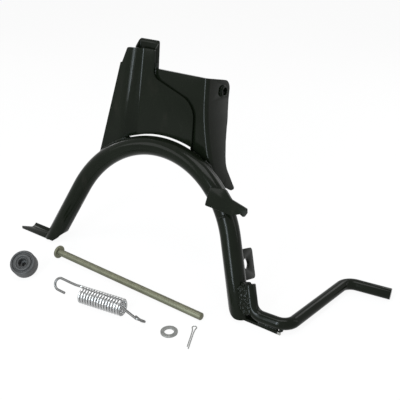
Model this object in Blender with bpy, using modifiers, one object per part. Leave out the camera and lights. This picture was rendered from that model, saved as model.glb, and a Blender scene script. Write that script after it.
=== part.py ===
"""Scooter centre stand with its loose hardware, in metres, +Z up.

The stand is a welded frame: a bent tube whose two legs stand on the floor, a pressed body above
the arch that carries the pivot, two foot plates, and the lever that the rider steps on. Its pivot
pin, washer, split pin, return spring and rubber buffer lie in front of it on the same floor.
"""
import math

import bmesh
import bpy
from mathutils import Matrix, Vector

# Clearance between pieces that touch, and how far cutters reach past what they cut
GAP = 0.0003
CUTTER_REACH = 0.08
CUTTER_SPAN = 0.3

# Bent tube: legs and arch
TUBE_DIAMETER = 0.0272
TUBE_WALL = 0.0022
FOOT_HALF_SPACING = 0.1668
ARCH_HEIGHT = 0.1705
LEG_SPLAY = math.radians(22.1)
ARCH_LEAN = math.radians(20.5)

# Pressed body: its own plane leans less than the arch
SHEET = 0.0035
BODY_LEAN = math.radians(6.5)
BODY_BEHIND_CROWN = 0.0095
BODY_DATUM_BELOW_CROWN = 0.0023
BODY_BOTTOM = -0.060
BODY_BOTTOM_TRIM = 0.005
LEFT_PRESSING_SPARE = 0.010
RIGHT_PRESSING_SPARE = 0.005

# Left pressing: brim, slanted wall, front web and ear
BRIM_FORWARD = 0.015
WEB_STEP = 0.004
BRIM_EDGE_AT_DATUM = -0.1055
BRIM_EDGE_TAPER = 0.27
BRIM_BEND_AT_DATUM = -0.0728
BRIM_BEND_TAPER = 0.125
WALL_FOOT_AT_DATUM = -0.0537
WALL_FOOT_TAPER = 0.077
BRIM_BEND_RADIUS = 0.020
WALL_BEND_RADIUS = 0.007
BRIM_TOP = 0.1095
EAR_TOP = 0.1315
EAR_RIGHT = -0.0260
STEP_SHOULDER = 0.0953
STEP_RIGHT = 0.0436
STEP_KNEE = 0.0706
STEP_SHOULDER_RADIUS = 0.012
STEP_KNEE_RADIUS = 0.030
EAR_LEFT = -0.064
EAR_LEFT_RADIUS = 0.004
BRIM_RIGHT = -0.0735
BLANK_LEFT = -0.140
BLANK_DEPTH = 0.1
BLANK_CORNER = 0.002
SLIT_GAP = 0.0023
SLIT_LEFT = -0.064
SLIT_END_WELD = 0.0015

# Channel behind the ear
CHANNEL_SHEET = 0.003
CHANNEL_LEFT = -0.0633
CHANNEL_DEPTH = 0.010
CHANNEL_TOP = 0.1432
CHANNEL_BOTTOM = 0.040

# Right pressing: web, flared cheek and pivot corner
CHEEK_X = 0.0608
CHEEK_FLARE_START = 0.085
CHEEK_FLARE_RADIUS = 0.290
CHEEK_BEND_RADIUS = 0.006
PIVOT_DEPTH = 0.0385
PIVOT_HEIGHT = 0.0855
PIVOT_CORNER = 0.014
WEB_ABOVE_PIVOT = 0.021
CHEEK_BACK_OF_PIVOT = 0.0165
CHEEK_TOP_SLOPE = 0.0085
CHEEK_TRIM_START = 0.004
CHEEK_BACK_DEPTH = 0.0515
CHEEK_BACK_HEIGHT = 0.045
CHEEK_WAIST_DEPTH = 0.0325
CHEEK_WAIST_HEIGHT = -0.015
SPUR_DEPTH = 0.0385
SPUR_HEIGHT = -0.0465
SPUR_WIDTH = 0.010
SPUR_CORNER = 0.003
SPUR_ROOT_SHARE = 1.8
SPUR_ROOT_RADIUS = 0.002
CHEEK_BACK_RADIUS = 0.080
CHEEK_WAIST_RADIUS = 0.025
SPUR_FREE_DEPTH = 0.035

# Pivot bushes and the left ear that carries one of them
BUSH_DIAMETER = 0.015
BUSH_LENGTH = 0.009
PIN_CLEARANCE = 0.0004
LEFT_EAR_X = -0.0608
LEFT_EAR_SHEET = 0.004
LEFT_EAR_FOOT = 0.052

# Spring hook plate, flat against the front of the tube; its outline is drawn from a point on the
# tube's centre line at this angle from the crown: corner across, corner up, corner radius
HOOK_PLATE_SHEET = 0.004
HOOK_PLATE_ROUND_ARCH = math.radians(50)
HOOK_PLATE_OUTLINE = [
    (-0.0154, -0.0038, 0.002), (0.0261, -0.0058, 0.004), (0.0376, -0.0008, 0.001),
    (0.0436, -0.0033, 0.002), (0.0466, 0.0032, 0.002), (0.0451, 0.0087, 0.002),
    (0.0211, 0.0142, 0.006), (0.0101, 0.0242, 0.004), (-0.0134, 0.0212, 0.002)]

# Buffer plate behind the right leg
BUFFER_PLATE_SHEET = 0.004
BUFFER_PLATE_LENGTH = 0.042
BUFFER_PLATE_REACH = 0.0505
BUFFER_PLATE_UP_LEG = 0.049
BUFFER_PLATE_CORNER = 0.005
BUFFER_HOLE_DEPTH = 0.0298
BUFFER_HOLE_LIFT = 0.001
BUFFER_HOLE_DIAMETER = 0.0148

# Foot plates, which carry the ends of the legs
FOOT_SHEET = 0.004
FOOT_BESIDE_LEG = 0.0022
LEFT_FOOT_LENGTH = 0.0695
RIGHT_FOOT_LENGTH = 0.0640
LEFT_FOOT_FRONT_Y = -0.0125
RIGHT_FOOT_FRONT_Y = -0.0085
FOOT_FLAT_DEPTH = 0.0090
FOOT_CURL_RADIUS = 0.012
FOOT_CURL = math.radians(45)
FOOT_CORNER_CUT = 0.014
LEG_END_ROUNDING = 0.027
LEG_END_CUT_HEIGHT = 0.060

# Lever rod
ROD_DIAMETER = 0.0156
LEVER_BEND_RADIUS = 0.020
LEVER_FOOT_RADIUS = 0.018
LEVER_UP_LEG = 0.026
LEVER_ROUND_LEG = math.radians(-8)
LEVER_KNEE_LIFT = 0.0012

# Points of the lever's centre line on the floor, out from the foot and back
LEVER_TURN_BACK = (0.0722, -0.0010)
LEVER_KNEE = (0.0902, 0.1350)
LEVER_TIP = (0.1502, 0.1452)

# Pivot pin, washer and split pin
PIN_DIAMETER = 0.010
PIN_LENGTH = 0.262
PIN_HEAD_DIAMETER = 0.0195
PIN_HEAD_THICKNESS = 0.004
PIN_CHAMFER = 0.0012
SPLIT_HOLE_FROM_END = 0.007
SPLIT_PIN_DIAMETER = 0.0028
SPLIT_PIN_EYE = 0.0072
SPLIT_PIN_LENGTH = 0.0405
SPLIT_PIN_GAP = 0.0006
WASHER_DIAMETER = 0.022
WASHER_BORE = 0.0122
WASHER_THICKNESS = 0.002

# Return spring
SPRING_DIAMETER = 0.0233
SPRING_WIRE = 0.0034
SPRING_TURNS = 15
SPRING_PITCH = 0.0042
SPRING_HOOK_WIDTH = 0.0165
SPRING_LEFT_HOOK_LENGTH = 0.0415
SPRING_RIGHT_HOOK_LENGTH = 0.036
SPRING_LEFT_TAIL = 0.010
SPRING_RIGHT_TAIL = 0.010
SPRING_HOOK_CROSSING = math.radians(75)
SPRING_HOOK_START = 0.003
SPRING_HOOK_SETTLES = 0.3
LEFT_HOOK_DRIFT = (0, 0.0045)
RIGHT_HOOK_DRIFT = (-0.0060, -0.0075)

# Rubber buffer
BUFFER_DIAMETER = 0.0364
BUFFER_THICKNESS = 0.017
BUFFER_STUD_LENGTH = 0.0085
BUFFER_STUD_CLEARANCE = 0.0004
BUFFER_RING_DIAMETER = 0.0246
BUFFER_CUP_DIAMETER = 0.0142
BUFFER_CUP_DEPTH = 0.009
BUFFER_GROOVE_DEPTH = 0.0012
BUFFER_BORE = 0.0062

# Where the loose pieces lie on the floor, from the middle between the feet
PIN_PLACE = (0.0052, -0.0392)
SPRING_PLACE = (0.0130, -0.0945)
SPRING_TURN = math.radians(9.0)
SPRING_ROLL = math.radians(30)
WASHER_PLACE = (0.1167, -0.0831)
SPLIT_PIN_PLACE = (0.1376, -0.0580)
SPLIT_PIN_TURN = math.radians(-66.2)
BUFFER_PLACE = (-0.1333, -0.0945)
BUFFER_TURN = math.radians(-62.0)

# Worked out from the sizes above
TUBE_RADIUS = TUBE_DIAMETER / 2
ROD_RADIUS = ROD_DIAMETER / 2
ARCH_RADIUS = ((FOOT_HALF_SPACING * math.cos(LEG_SPLAY) - ARCH_HEIGHT * math.sin(LEG_SPLAY))
               / (1 - math.sin(LEG_SPLAY)))
ARCH_CENTRE_HEIGHT = ARCH_HEIGHT - ARCH_RADIUS
WEB_TOP = PIVOT_HEIGHT + WEB_ABOVE_PIVOT

for old in list(bpy.data.objects):
    bpy.data.objects.remove(old, do_unlink=True)

parts = bpy.data.collections.new("centre_stand")
cutters = bpy.data.collections.new("cutters")
for collection in (parts, cutters):
    bpy.context.scene.collection.children.link(collection)


def material(name, colour, roughness, metallic, coat=0.0):
    """Principled material with one colour."""
    made = bpy.data.materials.new(name)
    made.use_nodes = True
    shader = made.node_tree.nodes["Principled BSDF"]
    shader.inputs["Base Color"].default_value = (*colour, 1.0)
    shader.inputs["Roughness"].default_value = roughness
    shader.inputs["Metallic"].default_value = metallic
    shader.inputs["Coat Weight"].default_value = coat
    return made


def frame(name, place, lean, parent):
    """Empty whose Z axis leans back by an angle; pieces are placed in its own axes."""
    empty = bpy.data.objects.new(name, None)
    parts.objects.link(empty)
    empty.parent = parent
    empty.location = place
    empty.rotation_euler = (-lean, 0, 0)
    return empty


root = frame("stand_frame", (0, 0, 0), 0, None)
arch_frame = frame("arch_frame", (0, 0, TUBE_RADIUS), ARCH_LEAN, root)
crown = Vector((0, ARCH_HEIGHT * math.sin(ARCH_LEAN),
                TUBE_RADIUS + ARCH_HEIGHT * math.cos(ARCH_LEAN)))
body_back = Vector((0, math.cos(BODY_LEAN), -math.sin(BODY_LEAN)))
body_up = Vector((0, math.sin(BODY_LEAN), math.cos(BODY_LEAN)))
body_place = crown + body_back * BODY_BEHIND_CROWN - body_up * BODY_DATUM_BELOW_CROWN
body_frame = frame("body_frame", body_place, BODY_LEAN, root)


def add(name, data, parent, finish, collection=parts):
    """Link a new object under a parent, with its own material."""
    made = bpy.data.objects.new(name, data)
    collection.objects.link(made)
    made.parent = parent
    if finish is not None:
        own = finish.copy()
        own.name = name + "_finish"
        data.materials.append(own)
    return made


def as_cutter(made):
    made.hide_render = True
    made.display_type = 'WIRE'
    return made


def cut(piece, cutter, operation='DIFFERENCE'):
    """Exact Boolean with a cutter or a guide solid."""
    step = piece.modifiers.new("cut", 'BOOLEAN')
    step.operation = operation
    step.solver = 'EXACT'
    step.object = cutter
    return step


def filleted(corners, segments=8):
    """Outline through corners (x, y, radius), each corner rounded by an arc of its radius."""
    points = []
    count = len(corners)
    for index, (x, y, radius) in enumerate(corners):
        corner = Vector((x, y))
        if radius <= 0:
            points.append(corner)
            continue
        before = Vector(corners[index - 1][:2]) - corner
        after = Vector(corners[(index + 1) % count][:2]) - corner
        before.normalize()
        after.normalize()
        half = before.angle(after) / 2
        reach = radius / math.tan(half)
        centre = corner + (before + after).normalized() * (radius / math.sin(half))
        start = corner + before * reach - centre
        end = corner + after * reach - centre
        sweep = start.angle_signed(end)
        for step in range(segments + 1):
            turned = start.copy()
            turned.rotate(Matrix.Rotation(-sweep * step / segments, 2))
            points.append(centre + turned)
    return points


def mesh_of(made):
    """Turn a curve object into a mesh object in the same place, its caps welded."""
    bpy.context.view_layer.update()
    evaluated = made.evaluated_get(bpy.context.evaluated_depsgraph_get())
    data = bpy.data.meshes.new_from_object(evaluated)
    shape = bmesh.new()
    shape.from_mesh(data)
    bmesh.ops.remove_doubles(shape, verts=shape.verts, dist=0.00001)
    shape.to_mesh(data)
    shape.free()
    name, parent, place = made.name, made.parent, made.matrix_local.copy()
    collection = made.users_collection[0]
    bpy.data.objects.remove(made, do_unlink=True)
    solid = bpy.data.objects.new(name, data)
    collection.objects.link(solid)
    solid.parent = parent
    solid.matrix_local = place
    return solid


def plate(name, outlines, thickness, parent, finish, place, collection=parts):
    """Flat plate from closed outlines in its own XY plane, thick along its own Z."""
    data = bpy.data.curves.new(name, 'CURVE')
    data.dimensions = '2D'
    data.fill_mode = 'BOTH'
    data.extrude = thickness / 2
    for outline in outlines:
        spline = data.splines.new('POLY')
        spline.points.add(len(outline) - 1)
        for point, (x, y) in zip(spline.points, outline):
            point.co = (x, y, 0, 1)
        spline.use_cyclic_u = True
    made = add(name, data, parent, finish, collection)
    made.matrix_local = place
    return mesh_of(made)


def wire(name, points, radius, resolution, parent, finish, capped=True, collection=parts):
    """Round bar or tube along a list of points."""
    data = bpy.data.curves.new(name, 'CURVE')
    data.dimensions = '3D'
    data.bevel_depth = radius
    data.bevel_resolution = resolution
    data.use_fill_caps = capped
    spline = data.splines.new('POLY')
    spline.points.add(len(points) - 1)
    for point, co in zip(spline.points, points):
        point.co = (*co, 1)
    made = add(name, data, parent, finish, collection)
    return made


def sheet(name, rows, thickness, parent, finish):
    """Folded sheet: a skin through rows of points, given its thickness to the back."""
    shape = bmesh.new()
    grid = [[shape.verts.new(point) for point in row] for row in rows]
    for low, high in zip(grid, grid[1:]):
        for left in range(len(low) - 1):
            shape.faces.new((low[left], low[left + 1], high[left + 1], high[left]))
    data = bpy.data.meshes.new(name)
    shape.to_mesh(data)
    shape.free()
    made = add(name, data, parent, finish)
    thick = made.modifiers.new("thickness", 'SOLIDIFY')
    thick.thickness = thickness
    thick.offset = -1
    thick.use_even_offset = True
    return made


def turned(name, profile, steps, parent, finish):
    """Solid of revolution about its own Z from a profile (radius, height), top to bottom."""
    data = bpy.data.meshes.new(name)
    points = [(radius, 0, height) for radius, height in profile]
    edges = [(index, index + 1) for index in range(len(points) - 1)]
    if profile[0][0] > 0:
        edges.append((len(points) - 1, 0))
    data.from_pydata(points, edges, [])
    made = add(name, data, parent, finish)
    screw = made.modifiers.new("turning", 'SCREW')
    screw.steps = steps
    screw.render_steps = steps
    screw.use_merge_vertices = True
    screw.merge_threshold = 0.00001
    screw.use_smooth_shade = True
    return made


def smooth(made, angle=40):
    made.data.shade_smooth()
    made.data.set_sharp_from_angle(angle=math.radians(angle))


def cylinder(name, radius, length, place, parent, collection=cutters, steps=48):
    """Plain cylinder cutter along its own Z."""
    shape = bmesh.new()
    bmesh.ops.create_cone(shape, cap_ends=True, segments=steps, radius1=radius, radius2=radius,
                          depth=length)
    data = bpy.data.meshes.new(name)
    shape.to_mesh(data)
    shape.free()
    made = add(name, data, parent, None, collection)
    made.matrix_local = place
    return as_cutter(made)


def block(name, low, high, parent, collection=cutters):
    """Plain box cutter between two corners."""
    shape = bmesh.new()
    size = Vector(high) - Vector(low)
    middle = (Vector(high) + Vector(low)) / 2
    bmesh.ops.create_cube(shape, size=1, matrix=Matrix.Translation(middle)
                          @ Matrix.Diagonal((*size, 1)))
    data = bpy.data.meshes.new(name)
    shape.to_mesh(data)
    shape.free()
    return as_cutter(add(name, data, parent, None, collection))


BLACK = material("gloss_black", (0.016, 0.017, 0.014), 0.22, 0.0, 0.6)
OLIVE = material("yellow_zinc", (0.16, 0.16, 0.11), 0.42, 0.9)
ZINC = material("bright_zinc", (0.62, 0.63, 0.64), 0.25, 1.0)
GREY = material("plain_zinc", (0.24, 0.24, 0.24), 0.45, 0.9)
RUBBER = material("rubber", (0.055, 0.055, 0.055), 0.6, 0.0)

# Planes that plates are drawn in: front view (x, up) and side view (back, up)
FRONT_VIEW = Matrix.Rotation(math.radians(90), 4, 'X')
SIDE_VIEW = Matrix(((0, 0, 1, 0), (1, 0, 0, 0), (0, 1, 0, 0), (0, 0, 0, 1)))


def arch_line(side_steps=3, arc_steps=26, below=0.030):
    """Centre line of the bent tube in the arch frame, left foot to right foot."""
    half_arc = math.pi / 2 - LEG_SPLAY
    leg = Vector((math.sin(LEG_SPLAY), 0, -math.cos(LEG_SPLAY)))
    arc = []
    for step in range(arc_steps + 1):
        angle = half_arc * (2 * step / arc_steps - 1)
        arc.append(Vector((ARCH_RADIUS * math.sin(angle), 0,
                           ARCH_CENTRE_HEIGHT + ARCH_RADIUS * math.cos(angle))))
    length = arc[-1].z / math.cos(LEG_SPLAY) + below
    right = [arc[-1] + leg * (length * step / side_steps) for step in range(1, side_steps + 1)]
    left = [Vector((-point.x, 0, point.z)) for point in reversed(right)]
    return left + arc + right


def stance_cut():
    """Solid under the tube's ends and between its legs, rounding each end on its inner side."""
    level = FOOT_SHEET + GAP
    inner = FOOT_HALF_SPACING - TUBE_RADIUS / math.cos(LEG_SPLAY)
    slope = math.tan(LEG_SPLAY) / math.cos(ARCH_LEAN)
    low = inner - (level - TUBE_RADIUS) * slope
    high = LEG_END_CUT_HEIGHT
    narrow = inner - (high - TUBE_RADIUS) * slope
    far = low + CUTTER_SPAN
    outline = filleted([
        (-far, -CUTTER_REACH, 0), (far, -CUTTER_REACH, 0), (far, level, 0),
        (low, level, LEG_END_ROUNDING), (narrow, high, 0), (-narrow, high, 0),
        (-low, level, LEG_END_ROUNDING), (-far, level, 0)])
    return as_cutter(plate("stance", [outline], 2 * CUTTER_REACH, root, None, FRONT_VIEW, cutters))


def make_arch_tube():
    """Tube bent in one plane, cut level on the foot plates."""
    tube = mesh_of(wire("arch_tube", arch_line(), TUBE_RADIUS, 8, arch_frame, BLACK, False))
    wall = tube.modifiers.new("wall", 'SOLIDIFY')
    wall.thickness = TUBE_WALL
    wall.offset = -1
    cut(tube, stance_cut())
    smooth(tube)
    return tube


def tube_envelope(name):
    """The tube with its clearance all round, which trims what is welded to it."""
    made = mesh_of(wire(name, arch_line(), TUBE_RADIUS + GAP, 8, arch_frame, None, True, cutters))
    return as_cutter(made)


def inside_arch():
    """Solid inside the tube's centre line, as far back as the spur of the cheek stands free."""
    outline = [(point.x, point.z) for point in arch_line()]
    front = -CUTTER_REACH
    place = Matrix.Translation((0, (front + SPUR_FREE_DEPTH) / 2, 0)) @ FRONT_VIEW
    return as_cutter(plate("inside_arch", [outline], SPUR_FREE_DEPTH - front, arch_frame, None, place,
                           cutters))


def slit_below_web():
    """Solid below an arc just above the tube, which leaves the slit open to the front."""
    radius = ARCH_RADIUS + TUBE_RADIUS + SLIT_GAP
    left, right = SLIT_LEFT, STEP_RIGHT - SLIT_END_WELD
    corners = [(left, 0), (right, 0)]
    start = math.asin(right / radius)
    end = math.asin(left / radius)
    steps = 28
    for step in range(steps + 1):
        angle = start + (end - start) * step / steps
        corners.append((radius * math.sin(angle), ARCH_CENTRE_HEIGHT + radius * math.cos(angle)))
    return as_cutter(plate("slit", [corners], 2 * CUTTER_REACH, arch_frame, None, FRONT_VIEW,
                           cutters))


def cheek_x(height):
    """Outer face of the right cheek: straight at the top, flaring out in an arc below."""
    drop = max(0.0, CHEEK_FLARE_START - height)
    return CHEEK_X + CHEEK_FLARE_RADIUS - math.sqrt(CHEEK_FLARE_RADIUS ** 2 - drop ** 2)


def fold(corners, height, segments=5):
    """Open run of a folded section at one height, its inner corners rounded."""
    far_corner = (corners[0][0], corners[-1][1] + 1.0, 0)
    closed = filleted(corners + [far_corner], segments)
    return [(x, y, height) for x, y in closed[:-1]]


def make_left_pressing(envelope, arch_cut, slit_cut):
    """Brim, slanted wall and front web, lofted upright, then trimmed to the blank's outline."""
    rows = []
    for height in (BODY_BOTTOM, EAR_TOP + LEFT_PRESSING_SPARE):
        brim_edge = BRIM_EDGE_AT_DATUM + BRIM_EDGE_TAPER * height
        brim_bend = BRIM_BEND_AT_DATUM + BRIM_BEND_TAPER * height
        wall_foot = WALL_FOOT_AT_DATUM + WALL_FOOT_TAPER * height
        corners = [(brim_edge, -BRIM_FORWARD, 0), (brim_bend, -BRIM_FORWARD, BRIM_BEND_RADIUS),
                   (wall_foot, -WEB_STEP, WALL_BEND_RADIUS), (STEP_RIGHT + LEFT_PRESSING_SPARE,
                                                               -WEB_STEP, 0)]
        rows.append(fold(corners, height))
    pressing = sheet("left_pressing", rows, SHEET, body_frame, BLACK)
    outline = filleted([
        (BLANK_LEFT, BODY_BOTTOM + BODY_BOTTOM_TRIM, 0),
        (STEP_RIGHT, BODY_BOTTOM + BODY_BOTTOM_TRIM, 0),
        (STEP_RIGHT, STEP_KNEE, STEP_KNEE_RADIUS),
        (EAR_RIGHT, STEP_SHOULDER, STEP_SHOULDER_RADIUS),
        (EAR_RIGHT, EAR_TOP, BLANK_CORNER),
        (EAR_LEFT, EAR_TOP, EAR_LEFT_RADIUS),
        (BRIM_RIGHT, BRIM_TOP, BLANK_CORNER),
        (BLANK_LEFT, BRIM_TOP, 0),
    ])
    blank = as_cutter(plate("left_blank", [outline], BLANK_DEPTH, body_frame, None, FRONT_VIEW,
                            cutters))
    cut(pressing, blank, 'INTERSECT')
    for cutter in (slit_cut, envelope, arch_cut):
        cut(pressing, cutter)
    smooth(pressing)
    return pressing


def make_right_pressing(envelope, arch_cut, slit_cut):
    """Right web and cheek, with the pivot corner, the waist and the spur of the cheek."""
    rows = []
    steps = 9
    for step in range(steps + 1):
        height = BODY_BOTTOM + (WEB_TOP + RIGHT_PRESSING_SPARE - BODY_BOTTOM) * step / steps
        side = cheek_x(height)
        corners = [(EAR_RIGHT + GAP, 0, 0), (side, 0, CHEEK_BEND_RADIUS), (side, CUTTER_REACH, 0)]
        rows.append(fold(corners, height))
    pressing = sheet("right_pressing", rows, SHEET, body_frame, BLACK)
    above_web = block("above_web", (-CUTTER_REACH, -CUTTER_REACH, WEB_TOP),
                      (CUTTER_SPAN, CUTTER_SPAN, WEB_TOP + CUTTER_REACH), body_frame)
    trim = filleted([
        (CHEEK_TRIM_START, WEB_TOP + CUTTER_REACH, 0),
        (CHEEK_TRIM_START, WEB_TOP, 0),
        (PIVOT_DEPTH + CHEEK_BACK_OF_PIVOT, WEB_TOP - CHEEK_TOP_SLOPE, PIVOT_CORNER),
        (CHEEK_BACK_DEPTH, CHEEK_BACK_HEIGHT, CHEEK_BACK_RADIUS),
        (CHEEK_WAIST_DEPTH, CHEEK_WAIST_HEIGHT, CHEEK_WAIST_RADIUS),
        (SPUR_DEPTH, SPUR_HEIGHT, SPUR_CORNER),
        (SPUR_DEPTH - SPUR_WIDTH, SPUR_HEIGHT, SPUR_CORNER),
        (SPUR_DEPTH - SPUR_ROOT_SHARE * SPUR_WIDTH, SPUR_HEIGHT + SPUR_WIDTH / 2, SPUR_ROOT_RADIUS),
        (CHEEK_TRIM_START, SPUR_HEIGHT + SPUR_WIDTH, 0),
        (CHEEK_TRIM_START, BODY_BOTTOM - CUTTER_REACH, 0),
        (CUTTER_SPAN, BODY_BOTTOM - CUTTER_REACH, 0),
        (CUTTER_SPAN, WEB_TOP + CUTTER_REACH, 0),
    ])
    side_place = Matrix.Translation((CHEEK_X + CHEEK_TRIM_START, 0, 0)) @ SIDE_VIEW
    trimmer = as_cutter(plate("cheek_trim", [trim], 2 * CUTTER_REACH, body_frame, None, side_place,
                              cutters))
    bore_place = Matrix.Translation((CHEEK_X, PIVOT_DEPTH, PIVOT_HEIGHT)) @ Matrix.Rotation(
        math.radians(90), 4, 'Y')
    bore = cylinder("right_bush_hole", BUSH_DIAMETER / 2 + GAP, 0.04, bore_place, body_frame)
    for cutter in (above_web, trimmer, bore, slit_cut, envelope, arch_cut):
        cut(pressing, cutter)
    smooth(pressing)
    return pressing


def make_ear_channel():
    """Folded channel behind the ear, its top cut on a slope up to the back."""
    corners = [(CHANNEL_LEFT, 0), (CHANNEL_LEFT, CHANNEL_DEPTH), (EAR_RIGHT, CHANNEL_DEPTH),
               (EAR_RIGHT, 0), (EAR_RIGHT - CHANNEL_SHEET, 0)]
    inner = CHANNEL_DEPTH - CHANNEL_SHEET
    corners += [(EAR_RIGHT - CHANNEL_SHEET, inner), (CHANNEL_LEFT + CHANNEL_SHEET, inner),
                (CHANNEL_LEFT + CHANNEL_SHEET, 0)]
    bends = {(CHANNEL_LEFT, CHANNEL_DEPTH), (EAR_RIGHT, CHANNEL_DEPTH)}
    section = filleted([(x, y, 0.004 if (x, y) in bends else 0) for x, y in corners], 5)
    length = CHANNEL_TOP - CHANNEL_BOTTOM
    place = Matrix.Translation((0, 0, (CHANNEL_TOP + CHANNEL_BOTTOM) / 2))
    channel = plate("ear_channel", [section], length, body_frame, BLACK, place)
    slope = filleted([(-0.02, EAR_TOP - 0.002, 0), (0, EAR_TOP, 0),
                      (CHANNEL_DEPTH, CHANNEL_TOP, 0), (0.02, CHANNEL_TOP, 0), (0.02, 0.2, 0),
                      (-0.02, 0.2, 0)])
    side_place = Matrix.Translation((CHANNEL_LEFT, 0, 0)) @ SIDE_VIEW
    cut(channel, as_cutter(plate("channel_slope", [slope], 0.14, body_frame, None, side_place,
                                 cutters)))
    smooth(channel)
    return channel


def make_left_pivot_ear():
    """Plate that stands behind the channel and carries the left bush."""
    front = CHANNEL_DEPTH + GAP
    outline = filleted([
        (front, PIVOT_HEIGHT + PIVOT_CORNER, 0),
        (PIVOT_DEPTH + PIVOT_CORNER, PIVOT_HEIGHT + PIVOT_CORNER, PIVOT_CORNER - 0.0005),
        (PIVOT_DEPTH + PIVOT_CORNER, PIVOT_HEIGHT - PIVOT_CORNER, PIVOT_CORNER - 0.0005),
        (front, LEFT_EAR_FOOT, 0),
    ])
    middle = LEFT_EAR_X + LEFT_EAR_SHEET / 2
    ear = plate("left_pivot_ear", [outline], LEFT_EAR_SHEET, body_frame, BLACK,
                Matrix.Translation((middle, 0, 0)) @ SIDE_VIEW)
    bore_place = Matrix.Translation((middle, PIVOT_DEPTH, PIVOT_HEIGHT)) @ Matrix.Rotation(
        math.radians(90), 4, 'Y')
    cut(ear, cylinder("left_bush_hole", BUSH_DIAMETER / 2 + GAP, 0.04, bore_place, body_frame))
    smooth(ear)
    return ear


def make_bush(name, middle):
    """Turned bush for the pivot pin, flush in its plate and proud on both faces."""
    outer, bore = BUSH_DIAMETER / 2, PIN_DIAMETER / 2 + PIN_CLEARANCE
    half, chamfer = BUSH_LENGTH / 2, 0.0006
    profile = [(bore, half), (outer - chamfer, half), (outer, half - chamfer),
               (outer, chamfer - half), (outer - chamfer, -half), (bore, -half)]
    bush = turned(name, profile, 32, body_frame, BLACK)
    bush.matrix_local = Matrix.Translation((middle, PIVOT_DEPTH, PIVOT_HEIGHT)) @ Matrix.Rotation(
        math.radians(90), 4, 'Y')
    return bush


def make_spring_hook_plate():
    """Plate on the front of the right shoulder, with an arm and a post for the spring."""
    across = ARCH_RADIUS * math.sin(HOOK_PLATE_ROUND_ARCH)
    up = ARCH_CENTRE_HEIGHT + ARCH_RADIUS * math.cos(HOOK_PLATE_ROUND_ARCH)
    outline = filleted([(across + x, up + y, radius) for x, y, radius in HOOK_PLATE_OUTLINE], 4)
    forward = TUBE_RADIUS + GAP + HOOK_PLATE_SHEET / 2
    place = Matrix.Translation((0, -forward, 0)) @ FRONT_VIEW
    hook = plate("spring_hook_plate", [outline], HOOK_PLATE_SHEET, arch_frame, BLACK, place)
    smooth(hook)
    return hook


def make_buffer_plate():
    """Plate edge-on behind the right leg, bored for the buffer's stud."""
    half = BUFFER_PLATE_LENGTH / 2
    start = TUBE_RADIUS + GAP
    outline = filleted([
        (start, -half, 0), (BUFFER_PLATE_REACH, -half, BUFFER_PLATE_CORNER),
        (BUFFER_PLATE_REACH, half, BUFFER_PLATE_CORNER), (start, half, 0)])
    steps, radius = 24, BUFFER_HOLE_DIAMETER / 2
    hole = [(BUFFER_HOLE_DEPTH + radius * math.cos(math.tau * step / steps),
             BUFFER_HOLE_LIFT + radius * math.sin(math.tau * step / steps)) for step in range(steps)]
    place = Matrix.Translation((FOOT_HALF_SPACING, 0, 0)) @ Matrix.Rotation(
        -LEG_SPLAY, 4, 'Y') @ Matrix.Translation((0, 0, BUFFER_PLATE_UP_LEG)) @ SIDE_VIEW
    return plate("buffer_plate", [outline, hole], BUFFER_PLATE_SHEET, arch_frame, BLACK, place)


def make_foot_plate(name, side, length, front):
    """Skid under a leg's end and out beside it: flat, then curled up along its back edge."""
    inner = FOOT_HALF_SPACING + FOOT_BESIDE_LEG
    tip = inner + length
    flat_back = front + FOOT_FLAT_DEPTH
    profile = [(front, FOOT_SHEET), (flat_back, FOOT_SHEET)]
    steps = 6
    for step in range(1, steps + 1):
        angle = FOOT_CURL * step / steps
        profile.append((flat_back + FOOT_CURL_RADIUS * math.sin(angle),
                        FOOT_SHEET + FOOT_CURL_RADIUS * (1 - math.cos(angle))))
    rows = [[(x * side, y, z) for y, z in profile] for x in (inner, tip)]
    if side > 0:
        rows.reverse()
    foot = sheet(name, rows, FOOT_SHEET, root, BLACK)
    beyond = 0.05
    corner = [(tip - 0.001, front + 0.002), (tip + beyond, front + 0.002),
              (tip + beyond, front + beyond), (tip - FOOT_CORNER_CUT, front + beyond),
              (tip - FOOT_CORNER_CUT, flat_back)]
    outline = [(x * side, y) for x, y in corner]
    trimmer = plate(name + "_corner", [outline], 0.12, root, None, Matrix.Identity(4), cutters)
    cut(foot, as_cutter(trimmer))
    seat = tube_envelope(name + "_seat")
    cut(seat, block(name + "_seat_floor", (-0.3, -0.1, -0.1), (0.3, 0.1, FOOT_SHEET + GAP / 2), root))
    cut(foot, seat)
    smooth(foot)
    return foot


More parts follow.
